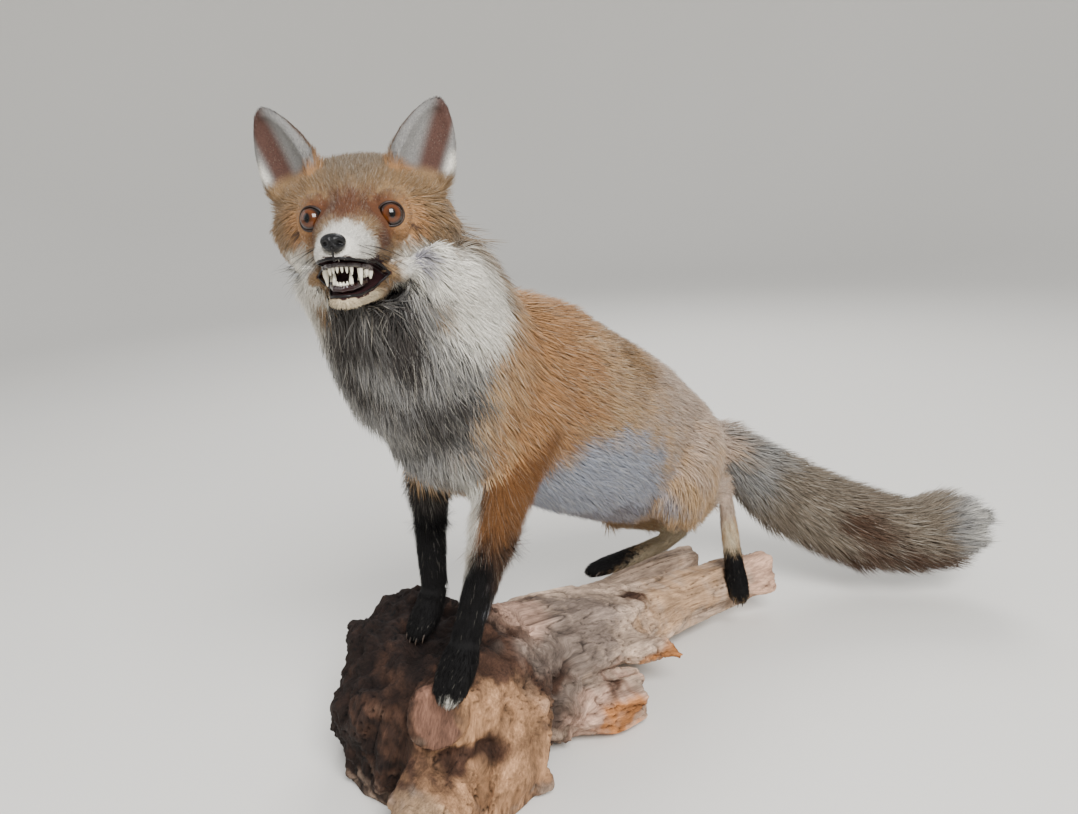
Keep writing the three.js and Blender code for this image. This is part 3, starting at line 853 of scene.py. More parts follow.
# %% The inside of the mouth
# the lips' heights and half width, as functions of the distance from the nose
UPPER_LIP = ([-84, -60, -36, -24], [-29, -30.5, -35, -40])
LOWER_LIP = ([-67, -62, -47, -35, -24], [-50.5, -50.5, -48, -45.5, -40.5])
LIP_WIDTH = ([-84, -79, -72, -60, -45, -33, -25], [4, 8, 14, 17, 19.5, 23, 25])
LIP_MARGIN = 1.2                # how far the dark, bare lip reaches past its line
CAVITY = 9                      # how far palate and jaw bed lie past the lip lines


def in_mouth(head_points, head_normals):
    """True on the bare inside of the mouth."""
    x, y, z = head_points.T
    upper = np.interp(y, *UPPER_LIP)
    lower = np.interp(y, *LOWER_LIP)
    between = (z < upper + LIP_MARGIN) & (z > lower - LIP_MARGIN)
    inside = np.abs(x) < np.interp(y, *LIP_WIDTH) - 1
    roof = inside & (z > upper) & (z < upper + CAVITY) & (head_normals[:, 2] < -0.1)
    bed = inside & (z < lower) & (z > lower - CAVITY) & (head_normals[:, 2] > 0.1)
    wall = (np.abs(x) < 23) & (y > -40) & (z > -58) & (z < -27)
    wall &= (head_normals[:, 1] < -0.1) & (head_normals[:, 0] * np.sign(x) < 0.35)
    return (between | roof | bed | wall) & (y < 6) & (y > -90) & (np.abs(x) < 27)


def store_colours(mesh, name, colours):
    layer = mesh.color_attributes.new(name, "FLOAT_COLOR", "POINT")
    filled = np.ones((len(colours), 4), np.float32)
    filled[:, :3] = colours
    layer.data.foreach_set("color", filled.ravel())


# %% Colours of the skin
UNDERCOAT = 0.78                # how bright the skin is against its hair
skin_points = points_of(skin_mesh)
skin_normals = normals_of(skin_mesh)
skin_values = markings(skin_points, skin_normals)
skin_colours = skin_values[:, :3] * UNDERCOAT
head_axes = np.array(head_turn.to_3x3())
mouth_mask = in_mouth(local(skin_points, HEAD), skin_normals @ head_axes)
skin_colours[mouth_mask] = TONE_VALUES["mouth"][:3]
store_colours(skin_mesh, "hide", skin_colours)


# %% Hair grain
def hair_group():
    """Node group: breaks a colour into fine hairs and gives their height."""
    group, given, result = node_group(
        "hair_grain", {"Colour": "Color", "Scale": "Float", "Contrast": "Float"},
        {"Colour": "Color", "Height": "Float"})
    grain = add(group, "TexNoise", {
        "Vector": object_place(group), "Scale": given["Scale"], "Detail": 4.0, "Roughness": 0.7})
    low = add(group, "Math", {0: 1.0, 1: given["Contrast"]}, operation="SUBTRACT")
    high = add(group, "Math", {0: 1.0, 1: given["Contrast"]}, operation="ADD")
    spread = add(group, "MapRange", {
        "Value": grain.outputs["Fac"], "From Min": 0.3, "From Max": 0.7,
        "To Min": low.outputs[0], "To Max": high.outputs[0]})
    tinted = add(group, "VectorMath", {
        0: given["Colour"], "Scale": spread.outputs["Result"]}, operation="SCALE")
    group.links.new(tinted.outputs["Vector"], result["Colour"])
    group.links.new(grain.outputs["Fac"], result["Height"])
    return group


HAIR_GRAIN = hair_group()


def hair_material(name, attribute, scale, contrast, bump, **constants):
    made, tree, shader = material(name, **constants)
    colour = add(tree, "VertexColor", layer_name=attribute)
    grain = add(tree, "Group", node_tree=HAIR_GRAIN)
    tree.links.new(colour.outputs["Color"], grain.inputs["Colour"])
    grain.inputs["Scale"].default_value = scale
    grain.inputs["Contrast"].default_value = contrast
    tree.links.new(grain.outputs["Colour"], shader.inputs["Base Color"])
    if bump:
        raised = add(tree, "Bump", {"Height": grain.outputs["Height"], "Strength": bump, "Distance": 0.001})
        tree.links.new(raised.outputs["Normal"], shader.inputs["Normal"])
    return made


skin_mesh.materials.append(hair_material(
    "hide", "hide", 900, 0.3, 0.5, Roughness=0.8, Specular_IOR_Level=0.2))
print("bare points in the mouth:", int(mouth_mask.sum()))

# %% [markdown]
# ## Roots of the coat
# Each tuft needs a root on the skin. Triangles are drawn by area and by how dense the coat is there,
# and nothing grows in the mouth, on the nose or on the eyes. Face and feet get many small tufts, the
# body fewer and longer ones.

# %% Density of each part of the coat
# part: tufts per square centimetre, width in millimetres, rings along a tuft
COAT = {
    "face": (260, 0.5, 1),
    "head": (58, 0.7, 2),
    "ears": (170, 0.4, 1),
    "neck": (23, 1.15, 2),
    "shoulder": (23, 1.1, 2),
    "back": (21, 1.1, 2),
    "rump": (25, 1.0, 2),
    "belly": (23, 1.1, 2),
    "tail": (25, 1.25, 2),
    "legs": (75, 0.6, 1),
    "feet": (110, 0.5, 1),
}

# %% Roots
coat_rng = np.random.default_rng(7)
skin_mesh.calc_loop_triangles()
triangles = np.empty(len(skin_mesh.loop_triangles) * 3, np.int32)
skin_mesh.loop_triangles.foreach_get("vertices", triangles)
triangles = triangles.reshape(-1, 3)
corners = skin_points[triangles]
centres = corners.mean(1)
areas = np.linalg.norm(np.cross(corners[:, 1] - corners[:, 0], corners[:, 2] - corners[:, 0]), axis=1) / 2
nearest = coat_field(centres)[0]
piece_names = np.array([b.piece for b in BONES])
SQUARE_CM = 1e-4                # in square metres
density = np.array([COAT[name][0] for name in piece_names])[nearest] / SQUARE_CM
head_centres = local(centres, HEAD)
NOSE_CENTRE = np.array((0, -80, -18))
NOSE_HALF = np.array((9.5, 8.5, 7.5))
bald = in_mouth(head_centres, skin_normals[triangles[:, 0]] @ head_axes)
for side in (1, -1):
    _, gap, past = past_lid(head_centres, side)
    bald |= (gap < 17) & (past < 7)
bald |= np.linalg.norm((head_centres - NOSE_CENTRE) / (NOSE_HALF * 1.05), axis=1) < 1
density[bald] = 0
expected = areas * density
count = int(expected.sum())
picked = np.sort(coat_rng.choice(len(triangles), count, p=expected / expected.sum()))
mix = coat_rng.dirichlet((1, 1, 1), count)
roots = np.einsum("nk,nkc->nc", mix, corners[picked])
root_normals = np.einsum("nk,nkc->nc", mix, skin_normals[triangles[picked]])
root_normals /= np.linalg.norm(root_normals, axis=1)[:, None]
root_bone, root_lie, root_length, root_depth = coat_field(roots)
root_values = markings(roots, root_normals)
print("tufts:", count)

# %% [markdown]
# ## Tufts
# A tuft is a thin three-sided lock that leaves the skin at a slant and bends over to lie along the
# body. Neighbours lean towards a common tip, as hair clings together in locks. The arrays for all
# tufts of a part are worked out at once, because there are tens of thousands of them.

# %% Shape of one tuft along its length
RISE = 0.7                      # height of a tip above the skin, for a lock of length 1 set upright
SINK = 0.8                      # how far a root sits below the skin, in mm
# rings: where each lies along the tuft, and its share of the width
PROFILES = {2: ((0, 0.5), (0.8, 1.0)), 1: ((0,), (1.0,))}
RING = np.radians([90, 210, 330])
PATCH = 0.003                   # size of a tuft's patch on the map
CLUMP = 9                       # tufts that share one tip
FLATNESS = 0.4                  # thickness of a lock against its width
SKIN_SHADE = 0.4                # share of the skin's direction in a tuft's own shading


def unit(vectors):
    return vectors / np.maximum(np.linalg.norm(vectors, axis=1), 1e-9)[:, None]


# %% Locks and their map
def clump_tips(starts, tips):
    """For each tuft the tip of the nearest leading tuft."""
    leaders = np.arange(0, len(starts), CLUMP)
    tree = KDTree(len(leaders))
    for number, index in enumerate(leaders):
        tree.insert(starts[index], number)
    tree.balance()
    found = np.array([tree.find(start)[1] for start in starts])
    return tips[leaders][found]


def unwrap(points, bones):
    """A tuft's place on the unrolled skin: round its bone across, along its bone up."""
    place = np.empty((len(points), 2))
    used = np.unique(bones)
    for column, index in enumerate(used):
        mine = bones == index
        stretch = BONES[index]
        along = stretch.end - stretch.start
        size = np.linalg.norm(along)
        axis = along / size
        across = np.cross(axis, (0.3, 0.1, 0.95))
        across /= np.linalg.norm(across)
        up = np.cross(across, axis)
        offset = points[mine] - stretch.start
        angle = np.arctan2(offset @ up, offset @ across) / (2 * math.pi) + 0.5
        height = (offset @ axis + stretch.reach) / (size + 2 * stretch.reach)
        place[mine, 0] = (column + 0.02 + 0.96 * angle) / len(used)
        place[mine, 1] = np.clip(height, 0.01, 0.99)
    return place


# %% Arrays of tufts
def tufts(mine, width, rings):
    """Points, colours, map places and faces of the tufts whose roots are numbered in `mine`."""
    total = len(mine)
    steps, girth = PROFILES[rings]
    normal = root_normals[mine]
    start = roots[mine] - normal * SINK * MM
    wander = coat_rng.normal(0, 0.2, total)
    tangent = unit(root_lie[mine] - np.sum(root_lie[mine] * normal, axis=1)[:, None] * normal)
    across = np.cross(normal, tangent)
    tangent = tangent * np.cos(wander)[:, None] + across * np.sin(wander)[:, None]
    across = np.cross(normal, tangent)
    length = root_length[mine] * MM * coat_rng.uniform(0.75, 1.15, total)
    lift = (root_depth[mine] + SINK) * MM / (RISE * length) * coat_rng.uniform(0.7, 1.1, total)
    lift = np.clip(lift, 0.03, 0.75)
    bend = coat_rng.normal(0, 0.08, total)
    flat = np.sqrt(1 - lift ** 2)

    def centre(s):
        ahead = tangent * (flat * s * length)[:, None]
        rise = normal * (lift * length * (s - (1 - RISE) * s * s))[:, None]
        aside = across * (bend * s * s * length)[:, None]
        return start + ahead + rise + aside

    pull = clump_tips(start, centre(1.0)) - centre(1.0)
    reach = np.linalg.norm(pull, axis=1)
    most = np.minimum(1, 0.35 * length / np.maximum(reach, 1e-6))
    pull *= (coat_rng.uniform(0.2, 0.6, total) * most)[:, None]
    size = width * MM * coat_rng.uniform(0.7, 1.3, total)
    per = rings * 3 + 1
    verts = np.empty((total, per, 3))
    shade = np.empty((total, per, 3))
    spot = np.empty((total, per, 2))
    base = root_values[mine, :3] * np.exp(coat_rng.normal(0, 0.11, total))[:, None]
    luck = coat_rng.uniform(0, 1, total)
    dark = luck < root_values[mine, 3]
    pale = luck > 1 - root_values[mine, 4]
    tip = base * 1.06
    tip[dark] = base[dark] * 0.35
    tip[pale] = base[pale] * 0.6 + linear("D0C9BA") * 0.4
    place = unwrap(roots[mine], root_bone[mine])
    for ring in range(rings):
        s = steps[ring]
        middle_line = centre(s) + pull * s ** 1.5
        tone = base * (0.8 + 0.2 * min(1, s * 2)) + (tip - base) * max(0, s * 1.6 - 0.6)
        for corner, angle in enumerate(RING):
            out = across * math.cos(angle) + normal * (FLATNESS * math.sin(angle))
            row = ring * 3 + corner
            verts[:, row] = middle_line + out * (size * girth[ring] / 2)[:, None]
            shade[:, row] = tone
            spot[:, row] = place + PATCH * np.array((s - 0.5, corner / 2 - 0.5))
    verts[:, -1] = centre(1.0) + pull
    shade[:, -1] = tip
    spot[:, -1] = place + PATCH * np.array((0.5, 0))
    faces = [(0, 2, 1)]
    for ring in range(rings - 1):
        for corner in range(3):
            a = ring * 3 + corner
            b = ring * 3 + (corner + 1) % 3
            faces += [(a, b, a + 3), (b, b + 3, a + 3)]
    last = (rings - 1) * 3
    faces += [(last + corner, last + (corner + 1) % 3, per - 1) for corner in range(3)]
    indices = (np.array(faces)[None] + (np.arange(total) * per)[:, None, None]).reshape(-1, 3)
    return verts.reshape(-1, 3), shade.reshape(-1, 3), spot.reshape(-1, 2), indices


# %% Mesh from arrays
def mesh_from_arrays(name, verts, faces, lean):
    """A smooth mesh whose shading leans towards the given directions, one for each vertex."""
    mesh = bpy.data.meshes.new(name)
    mesh.vertices.add(len(verts))
    mesh.vertices.foreach_set("co", verts.astype(np.float32).ravel())
    mesh.loops.add(len(faces) * 3)
    mesh.loops.foreach_set("vertex_index", faces.astype(np.int32).ravel())
    mesh.polygons.add(len(faces))
    mesh.polygons.foreach_set("loop_start", np.arange(len(faces), dtype=np.int32) * 3)
    mesh.update(calc_edges=True)
    mesh.validate()
    mesh.shade_smooth()
    shading = unit(normals_of(mesh) * (1 - SKIN_SHADE) + lean * SKIN_SHADE)
    mesh.normals_split_custom_set_from_vertices(shading)
    return mesh


# %% [markdown]
# ## Growing the coat
# The coat is long and loose on neck, back and tail, short on the face and feet. Hair curves or
# particles would be lost when the model leaves Blender, so every part of the body gets its own mesh of
# real tufts, cut into lengths from front to back where it would grow too heavy.

# %% Growing the coat
MOST_TRIANGLES = 195000         # in one piece of coat
fur_finish = hair_material(
    "fur", "hair", 700, 0.25, 0, Roughness=0.65, Specular_IOR_Level=0.2, Sheen_Weight=0.04)
dark_finish = hair_material(
    "fur_dark", "hair", 700, 0.25, 0, Roughness=0.6, Specular_IOR_Level=0.15)
coat_triangles = 0
root_piece = piece_names[root_bone]
for part, (_, width, rings) in COAT.items():
    mine = np.nonzero(root_piece == part)[0]
    each = 6 * (rings - 1) + 4
    lengths = math.ceil(len(mine) * each / MOST_TRIANGLES)
    order = mine[np.argsort(roots[mine] @ np.array((0.2, 1.0, -0.6)))]
    for number, chunk in enumerate(np.array_split(order, lengths), 1):
        verts, shade, spot, faces = tufts(chunk, width, rings)
        name = f"coat_{part}_{number}" if lengths > 1 else f"coat_{part}"
        lean = np.repeat(root_normals[chunk], rings * 3 + 1, axis=0)
        mesh = mesh_from_arrays(name, verts, faces, lean)
        store_colours(mesh, "hair", shade)
        layer = mesh.uv_layers.new(name="OFBake")
        layer.uv.foreach_set("vector", spot[faces.ravel()].astype(np.float32).ravel())
        mesh.materials.append(dark_finish if part in ("legs", "feet") else fur_finish)
        piece = new_object(name, mesh)
        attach(piece, "root")
        coat_triangles += len(faces)
        print(name, len(faces), "triangles")
print("coat:", coat_triangles, "triangles")

# %% [markdown]
# ## Eyes
# A taxidermist's eye is a glass cap painted behind. It could be clear glass over an iris disc; a ball
# whose colour runs from a black pupil through amber to a dark rim, under a clear coat, looks the same
# from outside and stays one simple piece.

# %% Glass eyes
EYE_SEGMENTS = 72


def glass_eye(name, side):
    ball = bmesh.new()
    bmesh.ops.create_uvsphere(ball, u_segments=EYE_SEGMENTS, v_segments=EYE_SEGMENTS, radius=EYE_RADIUS)
    look = Vector(EYE_LOOK * (side, 1, 1))
    turn = look.to_track_quat("Z", "Y").to_matrix().to_4x4()
    seat = HEAD @ Matrix.Translation(EYE_SEAT * (side, 1, 1)) @ turn
    polar = ball.verts.layers.float.new("iris")
    for vert in ball.verts:
        slit = math.hypot(vert.co.x / 2.1, vert.co.y / 3.4)
        outside = 1 if vert.co.z < 0 else float(fade(slit, 0.85, 1.1))
        vert[polar] = math.atan2(math.hypot(vert.co.x, vert.co.y), vert.co.z) / math.pi * outside
    bmesh.ops.transform(ball, matrix=seat, verts=ball.verts)
    return new_object(name, mesh_of(ball, name))


eye_finish, tree, shader = material(
    "glass_eye", Roughness=0.08, Specular_IOR_Level=0.25, Coat_Weight=0.35, Coat_Roughness=0.02)
iris = add(tree, "Attribute", attribute_name="iris")
fibres = add(tree, "TexNoise", {"Vector": object_place(tree), "Scale": 1400.0, "Detail": 3.0})
blur = add(tree, "Math", {0: fibres.outputs["Fac"], 1: 0.03}, operation="MULTIPLY")
radius = add(tree, "Math", {0: iris.outputs["Fac"], 1: blur.outputs[0]}, operation="ADD")
tree.links.new(
    ramp(tree, radius.outputs[0], [
        (0.03, "020202"), (0.06, "180A04"), (0.12, "3E1F0A"), (0.21, "562C10"), (0.27, "321807"),
        (0.31, "0C0603"), (0.42, "060403")]),
    shader.inputs["Base Color"])

for name, side in (("eye_left", 1), ("eye_right", -1)):
    eye = glass_eye("glass_" + name, side)
    eye.data.materials.append(eye_finish)
    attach(eye, "root")
    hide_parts(name)

# %% [markdown]
# ## Lids
# The bare, dark edge of the lids hides the gap round the glass. It could be pulled out of the skin,
# but there the points are too coarse for so thin a lip. A few rings round the line of sight, bridged
# into a band that rises over the glass and dives under the fur, give a clean almond.

# %% Lids
# degrees outside the opening, and height over the glass in millimetres
LID_RINGS = [(0, 0.15), (-1, 0.5), (3, 1.0), (8, 1.15), (16, 0.7), (26, -0.4)]
LID_POINTS = 48
lid_finish = mottled_material(
    "lid", "150B07", 0.35, "2E1A11", 0.7, scale=900, detail=4, bump=0.4, Roughness=0.45,
    Specular_IOR_Level=0.4)

for name, side in (("lid_left", 1), ("lid_right", -1)):
    lid = bmesh.new()
    look = Vector(EYE_LOOK * (side, 1, 1))
    right = Vector((0, 0, 1)).cross(look).normalized()
    up = look.cross(right)
    centre = Vector(EYE_SEAT * (side, 1, 1))
    rows = []
    for extra, raise_by in LID_RINGS:
        row = []
        for number in range(LID_POINTS):
            angle = 2 * math.pi * number / LID_POINTS
            polar = math.radians(opening(angle) + extra)
            around = right * math.cos(angle) + up * math.sin(angle)
            spot = look * math.cos(polar) + around * math.sin(polar)
            row.append(lid.verts.new(centre + spot * (EYE_RADIUS + raise_by)))
        rows.append([lid.edges.new((a, b)) for a, b in zip(row, row[1:] + row[:1])])
    for first, second in zip(rows, rows[1:]):
        bmesh.ops.bridge_loops(lid, edges=first + second)
    mesh = placed(lid, name, HEAD)
    mesh.materials.append(lid_finish)
    lid_piece = new_object(name, mesh)
    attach(lid_piece, "root")

# %% [markdown]
# ## Nose
# The nose pad is a rounded wedge of black, pebbled skin with comma-shaped nostrils and a groove that
# runs down to the lip. Sculpting would do, but it can't be repeated: here a ball is stretched and its
# front pushed in by a few smooth functions.

# %% Nose pad
NOSE_SEGMENTS = 40
pad = bmesh.new()
bmesh.ops.create_uvsphere(pad, u_segments=NOSE_SEGMENTS, v_segments=NOSE_SEGMENTS, radius=1)
for vert in pad.verts:
    x, y, z = vert.co
    flare = 1 + 0.12 * max(0, z) - 0.10 * max(0, -z)
    spot = Vector((x * 8.2 * flare, y * 7.6, z * 6.0))
    for side in (1, -1):
        nostril = math.hypot((spot.x - side * 4.2) / 2.0, (spot.z + 0.4) / 1.8)
        comma = math.hypot((spot.x - side * 6.6) / 1.8, (spot.z + 1.2) / 1.1)
        if y < 0:
            spot.y += 4.2 * math.exp(-nostril ** 2 * 1.2) + 2.0 * math.exp(-comma ** 2)
    if y < 0:
        spot.y += 1.3 * math.exp(-(spot.x / 0.9) ** 2) * min(1, max(0, 1.2 - z))
    vert.co = HEAD @ (Vector(NOSE_CENTRE) + spot)
nose_mesh = mesh_of(pad, "nose_pad")
nose_finish, tree, shader = material("nose_leather", Roughness=0.4, Specular_IOR_Level=0.3)
pebbles = add(tree, "TexVoronoi", {"Vector": object_place(tree), "Scale": 900.0})
black = ramp(tree, pebbles.outputs["Distance"], [(0.0, "100F10"), (0.8, "060607")])
tree.links.new(black, shader.inputs["Base Color"])
raised = add(tree, "Bump", {
    "Height": pebbles.outputs["Distance"], "Strength": 0.5, "Distance": 0.0004}, invert=True)
tree.links.new(raised.outputs["Normal"], shader.inputs["Normal"])
nose_mesh.materials.append(nose_finish)
nose = new_object("nose_pad", nose_mesh)
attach(nose, "root")
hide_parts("nose")

# %% [markdown]
# ## Teeth
# A snarl bares the incisors and the long canines in dark, wet gums. The solids give each tooth as a
# faceted cone on a curved gum. New teeth could be modelled one by one, but a fine remesh rounds these
# where they stand, and the colour turns from gum to enamel at the gum line.

# %% Teeth
tooth_finish, tree, shader = material("tooth", Roughness=0.22, Specular_IOR_Level=0.5, Coat_Weight=0.3)
stain = add(tree, "TexNoise", {"Vector": object_place(tree), "Scale": 260.0, "Detail": 3.0})
enamel = add(tree, "VertexColor", layer_name="enamel")
worn = add(tree, "MapRange", {
    "Value": stain.outputs["Fac"], "From Min": 0.3, "From Max": 0.7, "To Min": 0.8, "To Max": 1.05})
toned = add(tree, "VectorMath", {
    0: enamel.outputs["Color"], "Scale": worn.outputs["Result"]}, operation="SCALE")
tree.links.new(toned.outputs["Vector"], shader.inputs["Base Color"])

for name, gum_line, points_up in (("teeth_upper", -34.2, -1), ("teeth_lower", -46.4, 1)):
    mesh = fused([name], voxel=0.45, rounds=1, swell=0.1)
    mesh.name = "rounded_" + name
    head_points = local(points_of(mesh), HEAD)
    slope = (-0.16 if points_up < 0 else 0.18) * (head_points[:, 1] + 67)
    height = (head_points[:, 2] - gum_line - slope) * points_up
    white = fade(height, -0.3, 0.6)[:, None]
    store_colours(mesh, "enamel", linear("241010") * (1 - white) + linear("E6DFC9") * white)
    mesh.shade_smooth()
    mesh.materials.append(tooth_finish)
    row_piece = new_object(mesh.name, mesh)
    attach(row_piece, "root")
    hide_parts(name)

# %% [markdown]
# ## Lips and whiskers
# Black, bare lips edge the open mouth, and stiff whiskers stand in rows beside the nose. Both are
# round and long. Curve objects would need converting, so tubes are bridged from rings along a smooth
# path; the lips' path is first laid onto the nearest skin, which keeps them from floating.


# %% Tubes and curves
def tube_rings(path, radii, sides):
    """Vertices of round rings along a path, with a point at each end."""
    path = np.asarray(path, float)
    ahead = unit(np.gradient(path, axis=0))
    side = unit(np.cross(ahead, np.tile((0.13, 0.2, 0.97), (len(path), 1))))
    up = np.cross(side, ahead)
    turns = 2 * math.pi * np.arange(sides) / sides
    ring = np.cos(turns)[None, :, None] * side[:, None] + np.sin(turns)[None, :, None] * up[:, None]
    return path[:, None] + ring * np.asarray(radii)[:, None, None]


def tube(shape, path, radii, sides=10):
    """Adds a closed tube to a bmesh, in the units of the path."""
    loops = []
    for row in tube_rings(path, radii, sides):
        verts = [shape.verts.new(point) for point in row]
        loops.append([shape.edges.new((a, b)) for a, b in zip(verts, verts[1:] + verts[:1])])
    for first, second in zip(loops, loops[1:]):
        bmesh.ops.bridge_loops(shape, edges=first + second)
    for ends in (loops[0], loops[-1]):
        bmesh.ops.contextual_create(shape, geom=ends)


def curve_through(points, count):
    """Evenly spaced points on a smooth curve through the given ones."""
    points = np.asarray(points, float)
    gaps = np.linalg.norm(np.diff(points, axis=0), axis=1)
    stations = np.concatenate([[0], np.cumsum(gaps)])
    padded = np.vstack([2 * points[0] - points[1], points, 2 * points[-1] - points[-2]])
    result = []
    for at in np.linspace(0, stations[-1], count):
        k = min(np.searchsorted(stations, at, side="right") - 1, len(points) - 2)
        t = (at - stations[k]) / (stations[k + 1] - stations[k])
        a, b, c, d = padded[k:k + 4]
        result.append(0.5 * (2 * b + (c - a) * t + (2 * a - 5 * b + 4 * c - d) * t ** 2
                             + (3 * b - a - 3 * c + d) * t ** 3))
    return np.array(result)


# %% Lips
LIP_RAISED = 0.5                # how far the middle of a lip lies outside the skin
UPPER_HALF = [(8, -79, -31), (14, -72, -32), (17, -60, -32.5), (19.5, -45, -34.5), (23, -33, -37.5),
              (25, -25, -40.5)]
LOWER_HALF = [(6, -68.5, -51.5), (11, -61.5, -51), (14.8, -47, -49), (19.5, -34, -46), (25, -25, -41)]
skin_tree = BVHTree.FromObject(skin, bpy.context.evaluated_depsgraph_get())
to_head = HEAD.inverted()
lips = bmesh.new()
for half, front in ((UPPER_HALF, (0, -81, -30.5)), (LOWER_HALF, (0, -70, -52))):
    left = [(-x, y, z) for x, y, z in reversed(half)]
    path = curve_through(left + [front] + half, 60)
    for number, point in enumerate(path):
        nearest_skin, outwards, _, _ = skin_tree.find_nearest(HEAD @ Vector(point))
        path[number] = to_head @ (nearest_skin + outwards * LIP_RAISED * MM)
    path[1:-1] = (path[:-2] + 2 * path[1:-1] + path[2:]) / 4
    thick = 0.55 + 0.4 * np.sin(np.linspace(0, math.pi, 60)) ** 0.5
    tube(lips, path, thick)
tube(lips, curve_through([(0, -86.5, -21), (0, -84.5, -25), (0, -81.5, -30)], 8), [0.7] * 8, 8)
lip_mesh = placed(lips, "lips", HEAD)
lip_finish = mottled_material(
    "lip", "050405", 0.3, "120D0D", 0.75, scale=700, detail=4, bump=0.5, Roughness=0.4,
    Specular_IOR_Level=0.3)
lip_mesh.materials.append(lip_finish)
lip_piece = new_object("lips", lip_mesh)
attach(lip_piece, "root")

# %% Whiskers
whisker_rng = np.random.default_rng(5)
hairs = bmesh.new()
for side in (1, -1):
    for row in range(3):
        for column in range(4):
            start = np.array((side * (13 + 1.2 * column), -68 + 7 * column, -20 - 4.2 * row))
            span = whisker_rng.uniform(34, 52)
            droop = -0.25 - 0.15 * row + whisker_rng.normal(0, 0.08)
            way = np.array((side * 0.85, 0.45 + 0.1 * column, droop))
            way /= np.linalg.norm(way)
            steps = np.linspace(0, 1, 7)[:, None]
            path = start + way * steps * span + np.array((0, 0.12, -0.16)) * span * steps ** 2
            tube(hairs, path, 0.2 * (1.05 - steps[:, 0]), 4)
whisker_mesh = placed(hairs, "whiskers", HEAD)
whisker_mesh.shade_flat()
whisker_mesh.materials.append(lip_finish)
whiskers = new_object("whiskers", whisker_mesh)
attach(whiskers, "root")

# %% [markdown]
# ## Claws
# Each toe ends in a blunt, curved claw of dark horn that leaves the fur at the toe's upper front and
# bends down to the wood. A bent tube that narrows to its point is enough at this size.

# %% Claws
CLAW_LENGTH = 9
claws = bmesh.new()
for knuckle, tip, ahead, top, radius in TOES:
    start = np.array(tip + ahead * (radius * 0.4) + top * 1.0)
    steps = np.linspace(0, 1, 6)[:, None]
    path = start + np.array(ahead) * steps * CLAW_LENGTH - np.array(top) * 3.5 * steps ** 2
    tube(claws, path, 1.25 * (1.08 - steps[:, 0]) ** 0.7, 8)
claw_mesh = placed(claws, "claws", BODY)
claw_finish = mottled_material(
    "claw_horn", "241B16", 0.3, "4A3C31", 0.75, scale=500, detail=3, Roughness=0.4,
    Specular_IOR_Level=0.45)
claw_mesh.materials.append(claw_finish)
claw_piece = new_object("claws", claw_mesh)
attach(claw_piece, "root")

# %% [markdown]
# ## The driftwood
# The base is a stump with sawn stubs and a long weathered log. Sculpting it can't be repeated, and a
# displacement texture knows nothing of fibres, so its solid is remeshed fine and carved by functions
# of two grain directions: up the stump and along the log.

# %% Grain of the wood
WOOD_VOXEL = 2.5
wood_mesh = fused(["base_driftwood"], voxel=WOOD_VOXEL, rounds=2, swell=0.0)
wood_mesh.name = "driftwood"
wood_points = points_of(wood_mesh)
wood_normals = normals_of(wood_mesh)
wood_body = local(wood_points, BODY)
LOG_WAY = unit(np.array([(0.27, 0.96, -0.05)]))[0]
STUMP_WAY = unit(np.array([(0.25, 0.1, 1.0)]))[0]
GRAIN_SQUEEZE = 0.07            # the grain pattern is this much longer along the fibres
# centre, direction, radius of the sawn faces
SAWN = [
    (np.array((36, -321, 111)), np.array((0.66, -0.75, 0.06)), 27),
    (np.array((44, -352, 18)), np.array((0.5, -0.8, 0.3)), 40),
]


def grain_place(body_points, way):
    """Coordinates with the fibres along Y, shortened along them, in millimetres."""
    side = np.cross(way, (1.0, 0.1, 0.2))
    side /= np.linalg.norm(side)
    up = np.cross(side, way)
    return np.stack([body_points @ side, body_points @ way * GRAIN_SQUEEZE, body_points @ up], axis=1)


def noise_at(places, size, seed):
    shift = Vector((seed, seed * 0.7, -seed))
    return np.array([noise.noise(Vector(place / size) + shift) for place in places])


on_log = fade(wood_body[:, 1] + ripple(wood_body, 60, 4) * 20, -215, -150)
fibre_place = grain_place(wood_body, STUMP_WAY) * (1 - on_log)[:, None]
fibre_place += grain_place(wood_body, LOG_WAY) * on_log[:, None]
plain = np.ones(len(wood_body))
for centre, way, radius in SAWN:
    offset = wood_body - centre
    away = offset @ way
    round_it = np.linalg.norm(offset - away[:, None] * way, axis=1)
    plain *= 1 - (1 - fade(np.abs(away), 4, 9)) * (1 - fade(round_it, radius - 2, radius + 2))

# %% [markdown]
# ## Carving
# Weathered wood splits along its fibres. Broad steps give the split faces, ridges the raised hard
# grain, narrow valleys the cracks; the fox's right of the stump is rotten and crumbles. Nothing is carved on
# the sawn faces or at the very bottom, which stands flat.


# %% Carving the wood
def steps_of(values, count, sharp):
    """Turns smooth values into `count` soft-edged steps for each unit."""
    scaled = values * count
    low = np.floor(scaled)
    return (low + fade(scaled - low, sharp, 1 - sharp)) / count


split = steps_of(noise_at(fibre_place, 17, 3.1), 4, 0.38)
ridge = 1 - 2 * np.abs(noise_at(fibre_place, 6, 9.4))
crack = 1 - fade(np.abs(noise_at(fibre_place, 9, 5.7)), 0.0, 0.07)
crumble = noise_at(wood_body, 12, 8.2)
broad = noise_at(wood_body, 48, 1.3)
rotten = fade(-wood_body[:, 0] + ripple(wood_body, 50, 6) * 16, -10, 34) * (1 - on_log)
move = 9 * split + 1.5 * ridge - 3.2 * crack * fade(broad, -0.25, 0.1) + 3 * broad
move -= rotten * (3 + 5 * steps_of(crumble, 3, 0.3))
hollow = np.linalg.norm((wood_body - (48, -300, 66)) / (36, 44, 13), axis=1)
move -= 7 * (1 - fade(hollow, 0.5, 1.2))
move *= plain * fade(wood_body[:, 2], 1, 12)
wood_points += wood_normals * (np.clip(move, -12, 5) * MM)[:, None]
